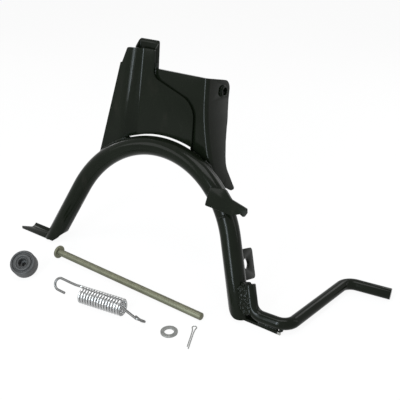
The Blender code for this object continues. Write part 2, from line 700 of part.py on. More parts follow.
def lever_line():
    """Centre line of the lever: down the leg, out along the foot, back, and out to its tip."""
    up_leg = Vector((-math.sin(LEG_SPLAY), math.cos(LEG_SPLAY) * math.sin(ARCH_LEAN),
                     math.cos(LEG_SPLAY) * math.cos(ARCH_LEAN)))
    side = Vector((math.cos(LEVER_ROUND_LEG), math.sin(LEVER_ROUND_LEG), 0))
    side = (side - up_leg * side.dot(up_leg)).normalized()
    foot = Vector((FOOT_HALF_SPACING, 0, 0))
    beside_foot = (foot + Vector((0, 0, TUBE_RADIUS))
                   + side * (TUBE_RADIUS + ROD_RADIUS + GAP))
    on_plate = FOOT_SHEET + GAP + ROD_RADIUS
    corners = [
        (beside_foot + up_leg * LEVER_UP_LEG, 0),
        (beside_foot + up_leg * (on_plate - beside_foot.z) / up_leg.z, LEVER_FOOT_RADIUS),
        (foot + Vector((*LEVER_TURN_BACK, on_plate)), LEVER_FOOT_RADIUS),
        (foot + Vector((*LEVER_KNEE, ROD_RADIUS + LEVER_KNEE_LIFT)), LEVER_BEND_RADIUS),
        (foot + Vector((*LEVER_TIP, ROD_RADIUS)), 0),
    ]
    points = [corners[0][0]]
    for index in range(1, len(corners) - 1):
        corner, radius = corners[index]
        before = (corners[index - 1][0] - corner).normalized()
        after = (corners[index + 1][0] - corner).normalized()
        half = before.angle(after) / 2
        reach = radius / math.tan(half)
        centre = corner + (before + after).normalized() * (radius / math.sin(half))
        start = corner + before * reach - centre
        end = corner + after * reach - centre
        axis = start.cross(end).normalized()
        sweep = start.angle(end)
        for step in range(9):
            points.append(centre + Matrix.Rotation(sweep * step / 8, 3, axis) @ start)
    points.append(corners[-1][0])
    return points


def make_lever_rod():
    rod = mesh_of(wire("lever_rod", lever_line(), ROD_RADIUS, 6, root, BLACK))
    smooth(rod)
    return rod


def make_pivot_pin():
    """Headed pin lying along X, with a cross hole for the split pin at its far end."""
    radius, head = PIN_DIAMETER / 2, PIN_HEAD_DIAMETER / 2
    top = PIN_LENGTH / 2
    under_head = top - PIN_HEAD_THICKNESS
    rim = 0.0012
    profile = [(0, top), (head - 2 * rim, top), (head - 0.3 * rim, top - 0.3 * rim),
               (head, top - rim), (head, under_head + rim), (head - rim, under_head),
               (radius, under_head), (radius, PIN_CHAMFER - top),
               (radius - PIN_CHAMFER, -top), (0, -top)]
    pin = turned("pivot_pin", profile, 32, root, OLIVE)
    tilt = math.atan2(head - radius, under_head + rim + top - PIN_CHAMFER)
    lift = (top - PIN_CHAMFER) * math.sin(tilt) + radius * math.cos(tilt)
    pin.matrix_local = (Matrix.Translation((*PIN_PLACE, lift))
                        @ Matrix.Rotation(tilt, 4, 'Y')
                        @ Matrix.Rotation(math.radians(-90), 4, 'Y'))
    hole_place = Matrix.Translation((PIN_PLACE[0] + PIN_LENGTH / 2 - SPLIT_HOLE_FROM_END,
                                     PIN_PLACE[1], radius)) @ Matrix.Rotation(
        math.radians(-32), 4, 'X')
    cut(pin, cylinder("split_pin_hole", SPLIT_PIN_DIAMETER / 2 + 0.0003, 0.03, hole_place, root,
                      cutters, 16))
    return pin


def make_flat_washer():
    outer, bore, chamfer = WASHER_DIAMETER / 2, WASHER_BORE / 2, 0.0003
    profile = [(bore, WASHER_THICKNESS), (outer - chamfer, WASHER_THICKNESS),
               (outer, WASHER_THICKNESS - chamfer), (outer, chamfer), (outer - chamfer, 0),
               (bore, 0)]
    washer = turned("flat_washer", profile, 40, root, GREY)
    washer.location = (*WASHER_PLACE, 0)
    return washer


def make_split_pin():
    """Split pin lying flat: one wire folded into an eye and two legs side by side."""
    wire_radius = SPLIT_PIN_DIAMETER / 4
    apart = SPLIT_PIN_GAP / 2 + wire_radius
    eye = SPLIT_PIN_EYE / 2 - wire_radius
    throat = eye * 1.9
    half = [Vector((SPLIT_PIN_LENGTH, apart, 0)), Vector((throat + 0.002, apart, 0))]
    for step in range(1, 8):
        angle = math.radians(35 + 145 * step / 8)
        half.append(Vector((-eye * math.cos(angle - math.pi), eye * math.sin(angle), 0)))
    tip = [Vector((-eye, 0, 0))]
    mirrored = [Vector((point.x, -point.y, 0)) for point in reversed(half)]
    mirrored[-1].x -= 0.0035
    pin = mesh_of(wire("split_pin", half + tip + mirrored, wire_radius, 2, root, GREY))
    pin.matrix_local = (Matrix.Translation((*SPLIT_PIN_PLACE, wire_radius))
                        @ Matrix.Rotation(SPLIT_PIN_TURN, 4, 'Z'))
    smooth(pin)
    return pin


def make_return_spring():
    """Close-wound spring along its own X, with hooks in planes that cross."""
    mean = (SPRING_DIAMETER - SPRING_WIRE) / 2
    half = SPRING_TURNS * SPRING_PITCH / 2
    steps = 12
    coil = []
    for step in range(SPRING_TURNS * steps + 1):
        angle = math.tau * step / steps
        along = half * (2 * step / (SPRING_TURNS * steps) - 1)
        coil.append(Vector((along, mean * math.sin(angle), mean * math.cos(angle))))
    hook = SPRING_HOOK_WIDTH / 2

    def hook_line(length, tail, drift, crossing):
        """Hook beyond the coil's end: out on one side, round, and a tail back on the other."""
        straight = length - hook
        line = [Vector((0, 0, mean)), Vector((straight * SPRING_HOOK_SETTLES, 0, hook)),
                Vector((straight, 0, hook))]
        for step in range(1, 9):
            angle = math.pi * step / 9
            line.append(Vector((straight + hook * math.sin(angle), 0, hook * math.cos(angle))))
        line.append(Vector((straight, 0, -hook)))
        line.append(Vector((straight - tail, 0, -hook)))
        turned = [Matrix.Rotation(crossing, 3, 'X') @ point for point in line]
        return [point + Vector((0, *drift)) * min(1, point.x / straight) for point in turned]

    start = half + SPRING_HOOK_START
    left = [Vector((-start - point.x, point.y, point.z))
            for point in hook_line(SPRING_LEFT_HOOK_LENGTH, SPRING_LEFT_TAIL, LEFT_HOOK_DRIFT, 0)]
    right = [Vector((start + point.x, point.y, point.z))
             for point in hook_line(SPRING_RIGHT_HOOK_LENGTH, SPRING_RIGHT_TAIL, RIGHT_HOOK_DRIFT,
                                    SPRING_HOOK_CROSSING)]
    lead = round(steps * (1 - SPRING_HOOK_CROSSING / math.tau))
    rising = [Vector((half + SPRING_HOOK_START * step / lead,
                      mean * math.sin(math.tau * step / steps),
                      mean * math.cos(math.tau * step / steps))) for step in range(1, lead)]
    line = list(reversed(left)) + coil + rising + right
    spring = mesh_of(wire("return_spring", line, SPRING_WIRE / 2, 2, root, ZINC))
    spring.matrix_local = (Matrix.Translation((*SPRING_PLACE, SPRING_DIAMETER / 2))
                           @ Matrix.Rotation(SPRING_TURN, 4, 'Z')
                           @ Matrix.Rotation(-SPRING_ROLL, 4, 'X'))
    smooth(spring, 60)
    return spring


def make_rubber_buffer():
    """Moulded buffer resting on its back rim and the end of its stud, its cup facing up."""
    outer = BUFFER_DIAMETER / 2
    ring, cup, bore = BUFFER_RING_DIAMETER / 2, BUFFER_CUP_DIAMETER / 2, BUFFER_BORE / 2
    stud = BUFFER_HOLE_DIAMETER / 2 - BUFFER_STUD_CLEARANCE
    top, groove, edge = BUFFER_THICKNESS, BUFFER_GROOVE_DEPTH, 0.0015
    stud_edge = 0.001
    profile = [(bore, top - BUFFER_CUP_DEPTH), (cup - 0.001, top - BUFFER_CUP_DEPTH),
               (cup, top), (ring - 0.001, top), (ring, top - groove), (ring + 0.002, top - groove),
               (ring + 0.0027, top), (outer - edge, top), (outer, top - edge), (outer, edge),
               (outer - edge, 0), (stud, 0), (stud, -BUFFER_STUD_LENGTH + stud_edge),
               (stud - stud_edge, -BUFFER_STUD_LENGTH), (bore, -BUFFER_STUD_LENGTH)]
    buffer = turned("rubber_buffer", profile, 40, root, RUBBER)
    rim_reach, stud_reach = outer - edge, stud - stud_edge
    lean = math.atan2(BUFFER_STUD_LENGTH, rim_reach - stud_reach)
    lift = rim_reach * math.sin(lean)
    buffer.matrix_local = (Matrix.Translation((*BUFFER_PLACE, lift))
                           @ Matrix.Rotation(BUFFER_TURN, 4, 'Z')
                           @ Matrix.Rotation(lean, 4, 'Y'))
    return buffer


def centre_on_floor():
    """Move the whole set so that the middle of its footprint is at the origin."""
    bpy.context.view_layer.update()
    graph = bpy.context.evaluated_depsgraph_get()
    places = [piece.matrix_world @ corner.co for piece in parts.objects if piece.type == 'MESH'
              for corner in piece.evaluated_get(graph).data.vertices]
    for axis in range(2):
        along = [place[axis] for place in places]
        root.location[axis] = -(min(along) + max(along)) / 2


make_arch_tube()
envelope = tube_envelope("tube_envelope")
arch_cut = inside_arch()
slit_cut = slit_below_web()
make_left_pressing(envelope, arch_cut, slit_cut)
make_right_pressing(envelope, arch_cut, slit_cut)
make_ear_channel()
make_left_pivot_ear()
make_bush("left_pivot_bush", LEFT_EAR_X + LEFT_EAR_SHEET / 2)
make_bush("right_pivot_bush", CHEEK_X - SHEET / 2)
make_spring_hook_plate()
make_buffer_plate()
make_foot_plate("left_foot_plate", -1, LEFT_FOOT_LENGTH, LEFT_FOOT_FRONT_Y)
make_foot_plate("right_foot_plate", 1, RIGHT_FOOT_LENGTH, RIGHT_FOOT_FRONT_Y)
make_lever_rod()
make_pivot_pin()
make_flat_washer()
make_split_pin()
make_return_spring()
make_rubber_buffer()
centre_on_floor()
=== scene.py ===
# %% [markdown]
# # A welded centre stand, dressed for the light
#
# The stand holds a scooter upright when it is parked. Its steel tube, two pressings and a handful
# of small plates are welded together and dipped in gloss black paint. Its pivot pin, washer, split
# pin, spring and rubber buffer lie beside it, as they come out of the bag. The solids were made
# first and are loaded here as a fixed frame. What follows gives them round edges, welds, finishes
# and a studio, and it never changes a size.

# %% Load the solids and measure them
import math
import random
import bmesh
import bpy
from mathutils import Matrix, Vector


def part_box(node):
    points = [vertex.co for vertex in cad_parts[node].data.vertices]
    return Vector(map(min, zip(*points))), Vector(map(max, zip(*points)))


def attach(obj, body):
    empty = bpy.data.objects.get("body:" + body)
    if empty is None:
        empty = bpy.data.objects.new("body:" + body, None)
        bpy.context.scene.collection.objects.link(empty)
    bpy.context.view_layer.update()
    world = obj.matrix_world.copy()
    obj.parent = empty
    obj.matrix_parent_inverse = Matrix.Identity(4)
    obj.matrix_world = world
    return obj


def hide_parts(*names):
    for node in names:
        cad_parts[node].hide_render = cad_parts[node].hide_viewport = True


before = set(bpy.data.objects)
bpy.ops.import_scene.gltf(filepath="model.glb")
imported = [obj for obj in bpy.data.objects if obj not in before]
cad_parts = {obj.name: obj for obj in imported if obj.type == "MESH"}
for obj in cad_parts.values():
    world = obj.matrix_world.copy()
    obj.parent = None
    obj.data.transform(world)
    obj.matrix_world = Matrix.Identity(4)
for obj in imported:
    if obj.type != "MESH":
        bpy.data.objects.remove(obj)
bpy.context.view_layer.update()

# %% [markdown]
# ## Where things are
#
# The tube is bent in one plane that leans back, and the pressings stand in a steeper plane behind
# its crown. It is easiest to think in those two planes, so two small functions turn a place in
# them (across, back, up) into a place in the room.

# %% Sizes that the pieces share, in metres
GAP = 0.0003
SHEET, FOOT_SHEET = 0.0035, 0.004
TUBE_RADIUS, TUBE_WALL = 0.0136, 0.0022
LEVER_RADIUS = 0.0078
FOOT_HALF_SPACING = 0.1668
ARCH_HEIGHT = 0.1705
LEG_SPLAY = math.radians(22.1)
ARCH_LEAN = math.radians(20.5)
BODY_LEAN, BODY_BACK, BODY_DROP = math.radians(6.5), 0.0095, 0.0023
PIVOT_BACK, PIVOT_UP = 0.0385, 0.0855
STAND = Vector((-0.0399, -0.01733, 0))
ARCH_RADIUS = ((FOOT_HALF_SPACING * math.cos(LEG_SPLAY) - ARCH_HEIGHT * math.sin(LEG_SPLAY))
               / (1 - math.sin(LEG_SPLAY)))
ARCH_CENTRE = ARCH_HEIGHT - ARCH_RADIUS


def in_arch(across, back, up):
    """Room place of a point in the tube's own plane."""
    lean = Matrix.Rotation(-ARCH_LEAN, 3, 'X')
    return STAND + Vector((0, 0, TUBE_RADIUS)) + lean @ Vector((across, back, up))


def in_body(across, back, up):
    """Room place of a point in the pressings' plane; zero is near the tube's crown."""
    lean = Matrix.Rotation(-BODY_LEAN, 3, 'X')
    return (in_arch(0, 0, ARCH_HEIGHT)
            + lean @ Vector((across, back + BODY_BACK, up - BODY_DROP)))


print("crown of the tube:", in_arch(0, 0, ARCH_HEIGHT))

# %% [markdown]
# ## Writing shader maths as sums
#
# A material in Blender is a web of nodes. Wired by hand, a simple sum takes three clicks and five
# lines. This class wraps one socket, so that `grain * 0.3 + 0.2` adds its own Math nodes. Any other
# node comes from `Paint.node`, which takes its settings first and then its inputs.

# %% A class that wraps a socket
class Value:
    def __init__(self, socket):
        self.socket = socket
        self.tree = socket.id_data

    def math(self, operation, first, second=0.0):
        node = self.tree.nodes.new("ShaderNodeMath")
        node.operation = operation
        for slot, value in zip(node.inputs, (first, second)):
            if isinstance(value, Value):
                self.tree.links.new(value.socket, slot)
            else:
                slot.default_value = value
        return Value(node.outputs[0])

    def __add__(self, other):
        return self.math('ADD', self, other)

    def __radd__(self, other):
        return self.math('ADD', other, self)

    def __mul__(self, other):
        return self.math('MULTIPLY', self, other)

    def __rmul__(self, other):
        return self.math('MULTIPLY', other, self)

    def __abs__(self):
        return self.math('ABSOLUTE', self)

    def __or__(self, other):
        return self.math('MAXIMUM', self, other)


# %% A material to which nodes are added one call at a time
class Paint:
    def __init__(self, name):
        self.material = bpy.data.materials.new(name)
        self.material.use_nodes = True
        self.tree = self.material.node_tree
        self.shader = self.tree.nodes["Principled BSDF"]
        place = self.tree.nodes.new("ShaderNodeTexCoord")
        self.place = Value(place.outputs["Object"])

    def join(self, socket, value):
        if isinstance(value, Value):
            self.tree.links.new(value.socket, socket)
        else:
            socket.default_value = value

    def node(self, kind, settings=None, output=0, **inputs):
        """Any node: its settings are set first, then its sockets are filled or linked."""
        made = self.tree.nodes.new("ShaderNode" + kind)
        for key, value in (settings or {}).items():
            setattr(made, key, value)
        for key, value in inputs.items():
            self.join(made.inputs[key.replace("_", " ")], value)
        return Value(made.outputs[output])

    def set(self, **inputs):
        """Sockets of the material's own shader."""
        for key, value in inputs.items():
            self.join(self.shader.inputs[key.replace("_", " ")], value)

    def noise(self, scale, detail, roughness=0.5, place=None):
        """Cloudy noise with this many features to the metre, around 0.5."""
        return self.node("TexNoise", Vector=place or self.place, Scale=scale, Detail=detail,
                         Roughness=roughness)

    def stretched(self, x, y, z):
        """Object coordinates with each axis multiplied, so that a pattern is drawn out."""
        return self.node("Mapping", Vector=self.place, Scale=(x, y, z))

    def ramp(self, value, low, high):
        """0 below low, 1 above high, and a smooth step between."""
        return self.node("MapRange", {"interpolation_type": 'SMOOTHSTEP'}, Value=value,
                         From_Min=low, From_Max=high)

    def blend(self, share, first, second):
        """One colour mixed into another."""
        mix = self.tree.nodes.new("ShaderNodeMix")
        mix.data_type = 'RGBA'
        self.join(mix.inputs["Factor"], share)
        for socket, colour in ((mix.inputs[6], first), (mix.inputs[7], second)):
            self.join(socket, (*colour, 1) if isinstance(colour, tuple) else colour)
        return Value(mix.outputs[2])

    def bumps(self, *layers):
        """Heights in metres, added up and laid over the surface."""
        height = layers[0]
        for layer in layers[1:]:
            height = height + layer
        self.set(Normal=self.node("Bump", Height=height, Strength=1.0, Distance=1.0))

    def done(self):
        print(f"{self.material.name}: {len(self.tree.nodes)} nodes")
        return self.material

# %% [markdown]
# ## Gloss black paint
#
# The paint is almost black with a trace of green, and flowed on thickly: it shows the lamps as soft
# streaks along every bend. It would look like plastic without its faults. A fine orange peel, about
# a millimetre across and a few thousandths deep, breaks up the reflections, and a slow waviness of
# the sheet below bends them. A thin film of dust, drawn out where it was wiped, greys it in places,
# and specks of dust are dull. Where the stand has scraped, at the right skid's corner, the paint is
# gone and bare steel shows. All of this is noise on the object's own coordinates, at the real scale
# of each fault. The shader's specular level is low, because the white studio is brighter all round
# than the room where such a thing is used.

# %% Gloss black paint on smooth steel, on the welds and on the worn skid
DEEP_BLACK, THIN_BLACK = (0.0028, 0.0041, 0.0022), (0.0054, 0.0073, 0.0042)
DUST_FILM, BARE_STEEL = (0.0120, 0.0115, 0.0085), (0.31, 0.31, 0.29)
WAVINESS, PEEL, WORN_RADIUS = 0.00022, 0.000012, 0.0075


def worn_bare(paint, corner):
    """1 where the paint is gone, in a ragged patch round a corner."""
    reach = 1 / WORN_RADIUS
    centred = paint.node("Mapping", Vector=paint.place, Scale=(reach,) * 3,
                         Location=corner * -reach)
    near = paint.node("TexGradient", {"gradient_type": 'SPHERICAL'}, "Fac", Vector=centred)
    return paint.ramp(near + paint.noise(520, 3) * 0.8, 0.72, 0.84)


def black_paint(name, sheen, peel=PEEL, lumps=0.0, worn_at=None):
    """Peel is a height in metres, lumps a share of the waviness, and a low sheen is shiny."""
    paint = Paint(name)
    runs = paint.noise(26, 3)
    dust = paint.ramp(paint.noise(1700, 1), 0.70, 0.78)
    film = paint.ramp(paint.noise(1.0, 4, 0.6, paint.stretched(34, 34, 11)), 0.55, 0.85)
    colour = paint.blend(film, paint.blend(runs, DEEP_BLACK, THIN_BLACK), DUST_FILM)
    roughness = sheen + runs * 0.05 + dust * 0.10 + film * 0.05
    if worn_at:
        bare = worn_bare(paint, worn_at)
        colour = paint.blend(bare, colour, BARE_STEEL)
        roughness = roughness + bare * 0.22
        paint.set(Metallic=bare)
    paint.set(Base_Color=colour, Roughness=roughness, Specular_IOR_Level=0.10)
    heights = [paint.noise(38, 2) * WAVINESS, paint.noise(650, 2) * peel]
    if lumps:
        heights.append(paint.noise(150, 0) * (WAVINESS * lumps))
    paint.bumps(*heights)
    return paint.done()


skid_low, skid_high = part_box("right_foot_plate")
skid_corner = Vector((skid_high[0], skid_low[1], FOOT_SHEET / 2))
smooth_paint = black_paint("gloss_black_paint", 0.11)
weld_paint = black_paint("gloss_black_paint_on_welds", 0.12, peel=0.000014, lumps=1.4)
skid_paint = black_paint("gloss_black_paint_worn_at_a_corner", 0.13, worn_at=skid_corner)

# %% [markdown]
# ## Zinc, three ways
#
# The pin is plated an olive drab and dulled, with the rings of the lathe still in it: noise that is
# squeezed along the pin's length draws them. The spring is bright zinc on drawn wire. Its hooks are
# painted darker and made a little rougher. The darker colour is painted shade, standing in for the
# dark surroundings that the straight wire reflects. A mask along the coil's own axis tells the
# hooks from the coil. The washer and the split pin were tumbled together in a barrel, which leaves
# a grey, blotchy skin with small knocks in it.

# %% Olive zinc on the turned pin
paint = Paint("olive_zinc_plating")
blotch = paint.noise(70, 3)
rings = paint.noise(1.0, 2, place=paint.stretched(2400, 30, 30))
drawn = paint.noise(1.0, 2, place=paint.stretched(16, 1500, 1500))
paint.set(Base_Color=paint.blend(blotch, (0.082, 0.084, 0.058), (0.160, 0.159, 0.108)),
          Metallic=0.75, Roughness=0.40 + blotch * 0.10 + drawn * 0.08)
paint.bumps(rings * 0.000010, drawn * 0.000012)
olive = paint.done()

# %% Bright zinc on the spring wire, with painted shade on its hooks
TURNS, PITCH, SPRING_TURN = 15, 0.0042, 9
HALF_COIL = TURNS * PITCH / 2
# Where along the coil's axis the painted shade on the hooks begins, and where it is full
HOOK_SHADE_FROM, HOOK_SHADE_TO = HALF_COIL + 0.001, HALF_COIL + 0.005


def laid_out(across, back, height, turn=0):
    """Place on the floor in front of the stand, turned by so many degrees."""
    return (Matrix.Translation(STAND + Vector((across, back, height)))
            @ Matrix.Rotation(math.radians(turn), 4, 'Z'))


spring_place = laid_out(0.0130, -0.0945, 0.01165, SPRING_TURN)
spring_way = spring_place.to_3x3() @ Vector((1, 0, 0))
paint = Paint("bright_zinc_with_painted_shade_on_hooks")
cloud, grain = paint.noise(160, 2), paint.noise(2600, 2)
centred = paint.node("Mapping", Vector=paint.place, Rotation=(0, 0, -math.radians(SPRING_TURN)),
                     Location=(-spring_place.translation.dot(spring_way), 0, 0))
hook_shade = paint.ramp(abs(paint.node("SeparateXYZ", Vector=centred)), HOOK_SHADE_FROM, HOOK_SHADE_TO)
plating = paint.blend(cloud, (0.33, 0.335, 0.34), (0.54, 0.545, 0.54))
# The hooks' darker colour is painted shade, standing in for the dark surroundings that the straight
# wire reflects
paint.set(Base_Color=paint.blend(hook_shade, plating, (0.150, 0.152, 0.150)),
          Metallic=1.0, Roughness=0.13 + grain * 0.10 + hook_shade * 0.08)
paint.bumps(grain * 0.000006)
bright = paint.done()

# %% Dull zinc on the washer and the split pin
paint = Paint("dull_zinc_plating")
blotch = paint.noise(330, 4, 0.65)
knocks = paint.ramp(paint.noise(900, 1), 0.62, 0.75)
paint.set(Base_Color=paint.blend(blotch, (0.150, 0.155, 0.150), (0.330, 0.330, 0.315)),
          Metallic=0.85, Roughness=0.34 + blotch * 0.22)
paint.bumps(blotch * 0.000020, knocks * -0.000015)
dull = paint.done()

# %% [markdown]
# ## Rubber
#
# Moulded rubber is matt, with a fine grain from the mould and a grey bloom of wax that comes out of
# it with age. The bloom is a cloud that lightens and dulls it together.

# %% Moulded rubber
paint = Paint("matt_black_rubber")
bloom, grain = paint.noise(110, 3), paint.noise(2100, 2)
paint.set(Base_Color=paint.blend(bloom, (0.022, 0.022, 0.0225), (0.052, 0.052, 0.051)),
          Roughness=0.46 + bloom * 0.16, Specular_IOR_Level=0.40)
paint.bumps(grain * 0.000030, paint.noise(240, 2) * 0.00008)
rubber = paint.done()

# %% [markdown]
# ## A few handles for modelling
#
# So each piece begins with nothing selected. A finished piece is dressed in one call: it gets its
# finish, the node that it stands for is hidden, and it hangs on the body that it rides on.

# %% Selecting and editing
def only(piece):
    bpy.ops.object.select_all(action='DESELECT')
    piece.select_set(True)
    bpy.context.view_layer.objects.active = piece


def edit(piece):
    only(piece)
    bpy.ops.object.mode_set(mode='EDIT')
    bpy.ops.mesh.select_all(action='SELECT')


def done_editing():
    bpy.ops.object.mode_set(mode='OBJECT')


def pick(piece, kind, test):
    """In edit mode, select the faces or edges whose middle passes a test."""
    bpy.ops.mesh.select_mode(type={'faces': 'FACE', 'edges': 'EDGE'}[kind])
    bpy.ops.mesh.select_all(action='DESELECT')
    shape = bmesh.from_edit_mesh(piece.data)
    for part in list(getattr(shape, kind)):
        if test(sum((vert.co for vert in part.verts), Vector()) / len(part.verts)):
            part.select_set(True)
    bmesh.update_edit_mesh(piece.data)


def face_outwards():
    bpy.ops.mesh.select_all(action='SELECT')
    bpy.ops.mesh.normals_make_consistent(inside=False)


# %% Modifiers and shading
def apply_all(piece):
    only(piece)
    for step in [modifier.name for modifier in piece.modifiers]:
        bpy.ops.object.modifier_apply(modifier=step)


def round_edges(piece, width, sharp, segments=3, corners='MITER_SHARP'):
    """Round the edges that turn by more than so many degrees."""
    bevel = piece.modifiers.new("edge", 'BEVEL')
    bevel.width = width
    bevel.segments = segments
    bevel.angle_limit = math.radians(sharp)
    bevel.miter_outer = corners
    apply_all(piece)


def cut_away(piece, cutter):
    cut = piece.modifiers.new("cut", 'BOOLEAN')
    cut.object = cutter
    cut.solver = 'EXACT'
    apply_all(piece)
    bpy.data.objects.remove(cutter)


def smooth(piece, angle=32):
    only(piece)
    bpy.ops.object.shade_smooth_by_angle(angle=math.radians(angle))


# %% Putting a piece in its place and dressing it
def settle(piece, place=None):
    """Leave the object at the origin, unturned, with its place in its mesh."""
    if place is not None:
        piece.matrix_world = place
    only(piece)
    bpy.ops.object.transform_apply(location=True, rotation=True, scale=True)
    return piece


def dress(piece, finish, node):
    """Give a piece its finish, hide the node that it stands for, and hang it on its body."""
    piece.data.materials.clear()
    piece.data.materials.append(finish)
    if node:
        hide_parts(node)
    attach(piece, "root")
    print(f"{piece.name}: {len(piece.data.polygons)} faces")


# %% [markdown]
# ## Edges that catch the light
#
# A sheared plate has no perfectly sharp edge: the shears roll it over by half a millimetre, and the
# paint rounds it further. Those edges are what the eye reads as "steel plate". The plates' shapes
# are right already, so a copy of each solid is cleaned and its edges are rounded. The copy's loose
# triangles are welded together first, and flat neighbours are dissolved into one face, because a
# bevel can only run along a clean edge. The pressings keep the crispest edges, and the channel,
# which was folded over at its top, has the softest.

# %% Copies of the eight plates with their edges rounded
PLATE_EDGE, CRISP_EDGE, SOFT_EDGE = 0.0006, 0.0003, 0.0016


def rounded_copy(node, name, edge):
    piece = bpy.data.objects.new(name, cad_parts[node].data.copy())
    bpy.context.scene.collection.objects.link(piece)
    edit(piece)
    bpy.ops.mesh.remove_doubles(threshold=0.000002)
    bpy.ops.mesh.dissolve_limited(angle_limit=math.radians(0.6))
    done_editing()
    round_edges(piece, edge, 35, corners='MITER_ARC')
    smooth(piece)
    return piece


for node, name, edge, finish in (
        ("left_pressing", "left_pressing_rounded", CRISP_EDGE, smooth_paint),
        ("right_pressing", "right_pressing_rounded", CRISP_EDGE, smooth_paint),
        ("ear_channel", "ear_channel_rounded", SOFT_EDGE, smooth_paint),
        ("left_pivot_ear", "left_pivot_ear_rounded", PLATE_EDGE, smooth_paint),
        ("spring_hook_plate", "hook_plate_rounded", PLATE_EDGE, smooth_paint),
        ("buffer_plate", "buffer_plate_rounded", PLATE_EDGE, smooth_paint),
        ("left_foot_plate", "left_skid_rounded", PLATE_EDGE, smooth_paint),
        ("right_foot_plate", "right_skid_rounded", PLATE_EDGE, skid_paint)):
    dress(rounded_copy(node, name, edge), finish, node)

# %% [markdown]
# ## Bending a bar
#
# The tube and the lever are one kind of thing: a round bar that runs straight, bends on a radius
# and runs straight again. By hand you would add a circle, extrude it along the straight and spin it
# round the bend. The function does the same. It works out where each bend starts and ends from the
# corner and its radius, as a bender's drawing does.

# %% Circle, extrude, spin, extrude
def bent_bar(name, corners, radius, sides, bend_steps):
    """Round bar along corners of (place, bend radius), left in edit mode with open ends."""
    first, second = corners[0][0], corners[1][0]
    facing = (second - first).to_track_quat('Z', 'Y').to_euler()
    bpy.ops.object.select_all(action='DESELECT')
    bpy.ops.mesh.primitive_circle_add(vertices=sides, radius=radius, location=first,
                                      rotation=facing)
    bar = bpy.context.object
    bar.name = name
    edit(settle(bar))
    at = first
    for (before, _), (corner, bend), (after, _) in zip(corners, corners[1:], corners[2:]):
        inward, outward = (before - corner).normalized(), (after - corner).normalized()
        half = inward.angle(outward) / 2
        start = corner + inward * (bend / math.tan(half))
        centre = corner + (inward + outward).normalized() * (bend / math.sin(half))
        bpy.ops.mesh.extrude_region_move(TRANSFORM_OT_translate={"value": start - at})
        axis = (start - centre).cross(corner - centre).normalized()
        bpy.ops.mesh.spin(steps=bend_steps, angle=-(math.pi - 2 * half), center=centre, axis=axis)
        at = corner + outward * (bend / math.tan(half))
    bpy.ops.mesh.extrude_region_move(TRANSFORM_OT_translate={"value": corners[-1][0] - at})
    return bar


# %% [markdown]
# ## The bent tube
#
# The tube is the stand: one length of 27 mm steel tube, bent into an arch between two straight
# legs. It is drawn as a bar with a single corner. The two legs' lines meet high above the crown,
# and one bend there with the arch's radius makes the whole arch. Solidify then gives the wall, and
# a Boolean trims the two ends level and rounds them on their inner side, where the real tube is
# pressed in to meet its foot plate.

# %% Tube along the arch
PAST_THE_FLOOR = 0.03
leg_way = Vector((math.sin(LEG_SPLAY), 0, -math.cos(LEG_SPLAY)))
apex = ARCH_CENTRE + ARCH_RADIUS / math.sin(LEG_SPLAY)
right_end = Vector((0, 0, apex)) + leg_way * (apex + PAST_THE_FLOOR) / math.cos(LEG_SPLAY)
tube = bent_bar("bent_tube", [(in_arch(-right_end.x, 0, right_end.z), 0),
                              (in_arch(0, 0, apex), ARCH_RADIUS),
                              (in_arch(*right_end), 0)], TUBE_RADIUS, 56, 56)
face_outwards()
done_editing()
wall = tube.modifiers.new("wall", 'SOLIDIFY')
wall.thickness = TUBE_WALL
wall.offset = -1
apply_all(tube)
print("radius of the arch:", round(ARCH_RADIUS, 4))

# %% A block between the legs that trims both ends of the tube
END_ROUNDING, RISE, BLOCK = 0.027, 0.056, Vector((0.8, 0.2, 0.1))
level = FOOT_SHEET + GAP
slope = math.tan(LEG_SPLAY) / math.cos(ARCH_LEAN)
half_clear = FOOT_HALF_SPACING - TUBE_RADIUS / math.cos(LEG_SPLAY) - (level - TUBE_RADIUS) * slope
bpy.ops.object.select_all(action='DESELECT')
bpy.ops.mesh.primitive_cube_add(size=1, location=(STAND.x, 0, level - BLOCK.z / 2), scale=BLOCK)
trimmer = settle(bpy.context.object)
edit(trimmer)
for way in (-1, 1):
    bpy.ops.mesh.select_all(action='SELECT')
    bpy.ops.mesh.bisect(plane_co=(STAND.x + way * half_clear, 0, 0), plane_no=(1, 0, 0))
pick(trimmer, "faces", lambda at: at.z > level - 0.001 and abs(at.x - STAND.x) < 0.01)
bpy.ops.mesh.extrude_region_move(TRANSFORM_OT_translate={"value": (0, 0, RISE)})
narrower = (half_clear - RISE * slope) / half_clear
bpy.ops.transform.resize(value=(narrower, 1, 1), center_override=(STAND.x, 0, 0))
pick(trimmer, "edges", lambda at: abs(at.z - level) < 1e-5 and abs(at.y) < 0.001
     and abs(abs(at.x - STAND.x) - half_clear) < 1e-4)
half_corner = (math.pi / 2 + math.atan(slope)) / 2
bpy.ops.mesh.bevel(offset=END_ROUNDING / math.tan(half_corner), segments=14)
face_outwards()
done_editing()
cut_away(tube, trimmer)
round_edges(tube, 0.0004, 50, segments=2)
smooth(tube)
dress(tube, smooth_paint, "arch_tube")

# %% [markdown]
# ## The lever
#
# The rider steps on this 16 mm bar. It starts beside the right leg, runs down it, turns out along
# the foot plate, then back and out to the side. The same bending function draws it, with its four
# bends worked out from the leg that it is welded to. Its far end was sawn off square, and only
# lightly deburred.

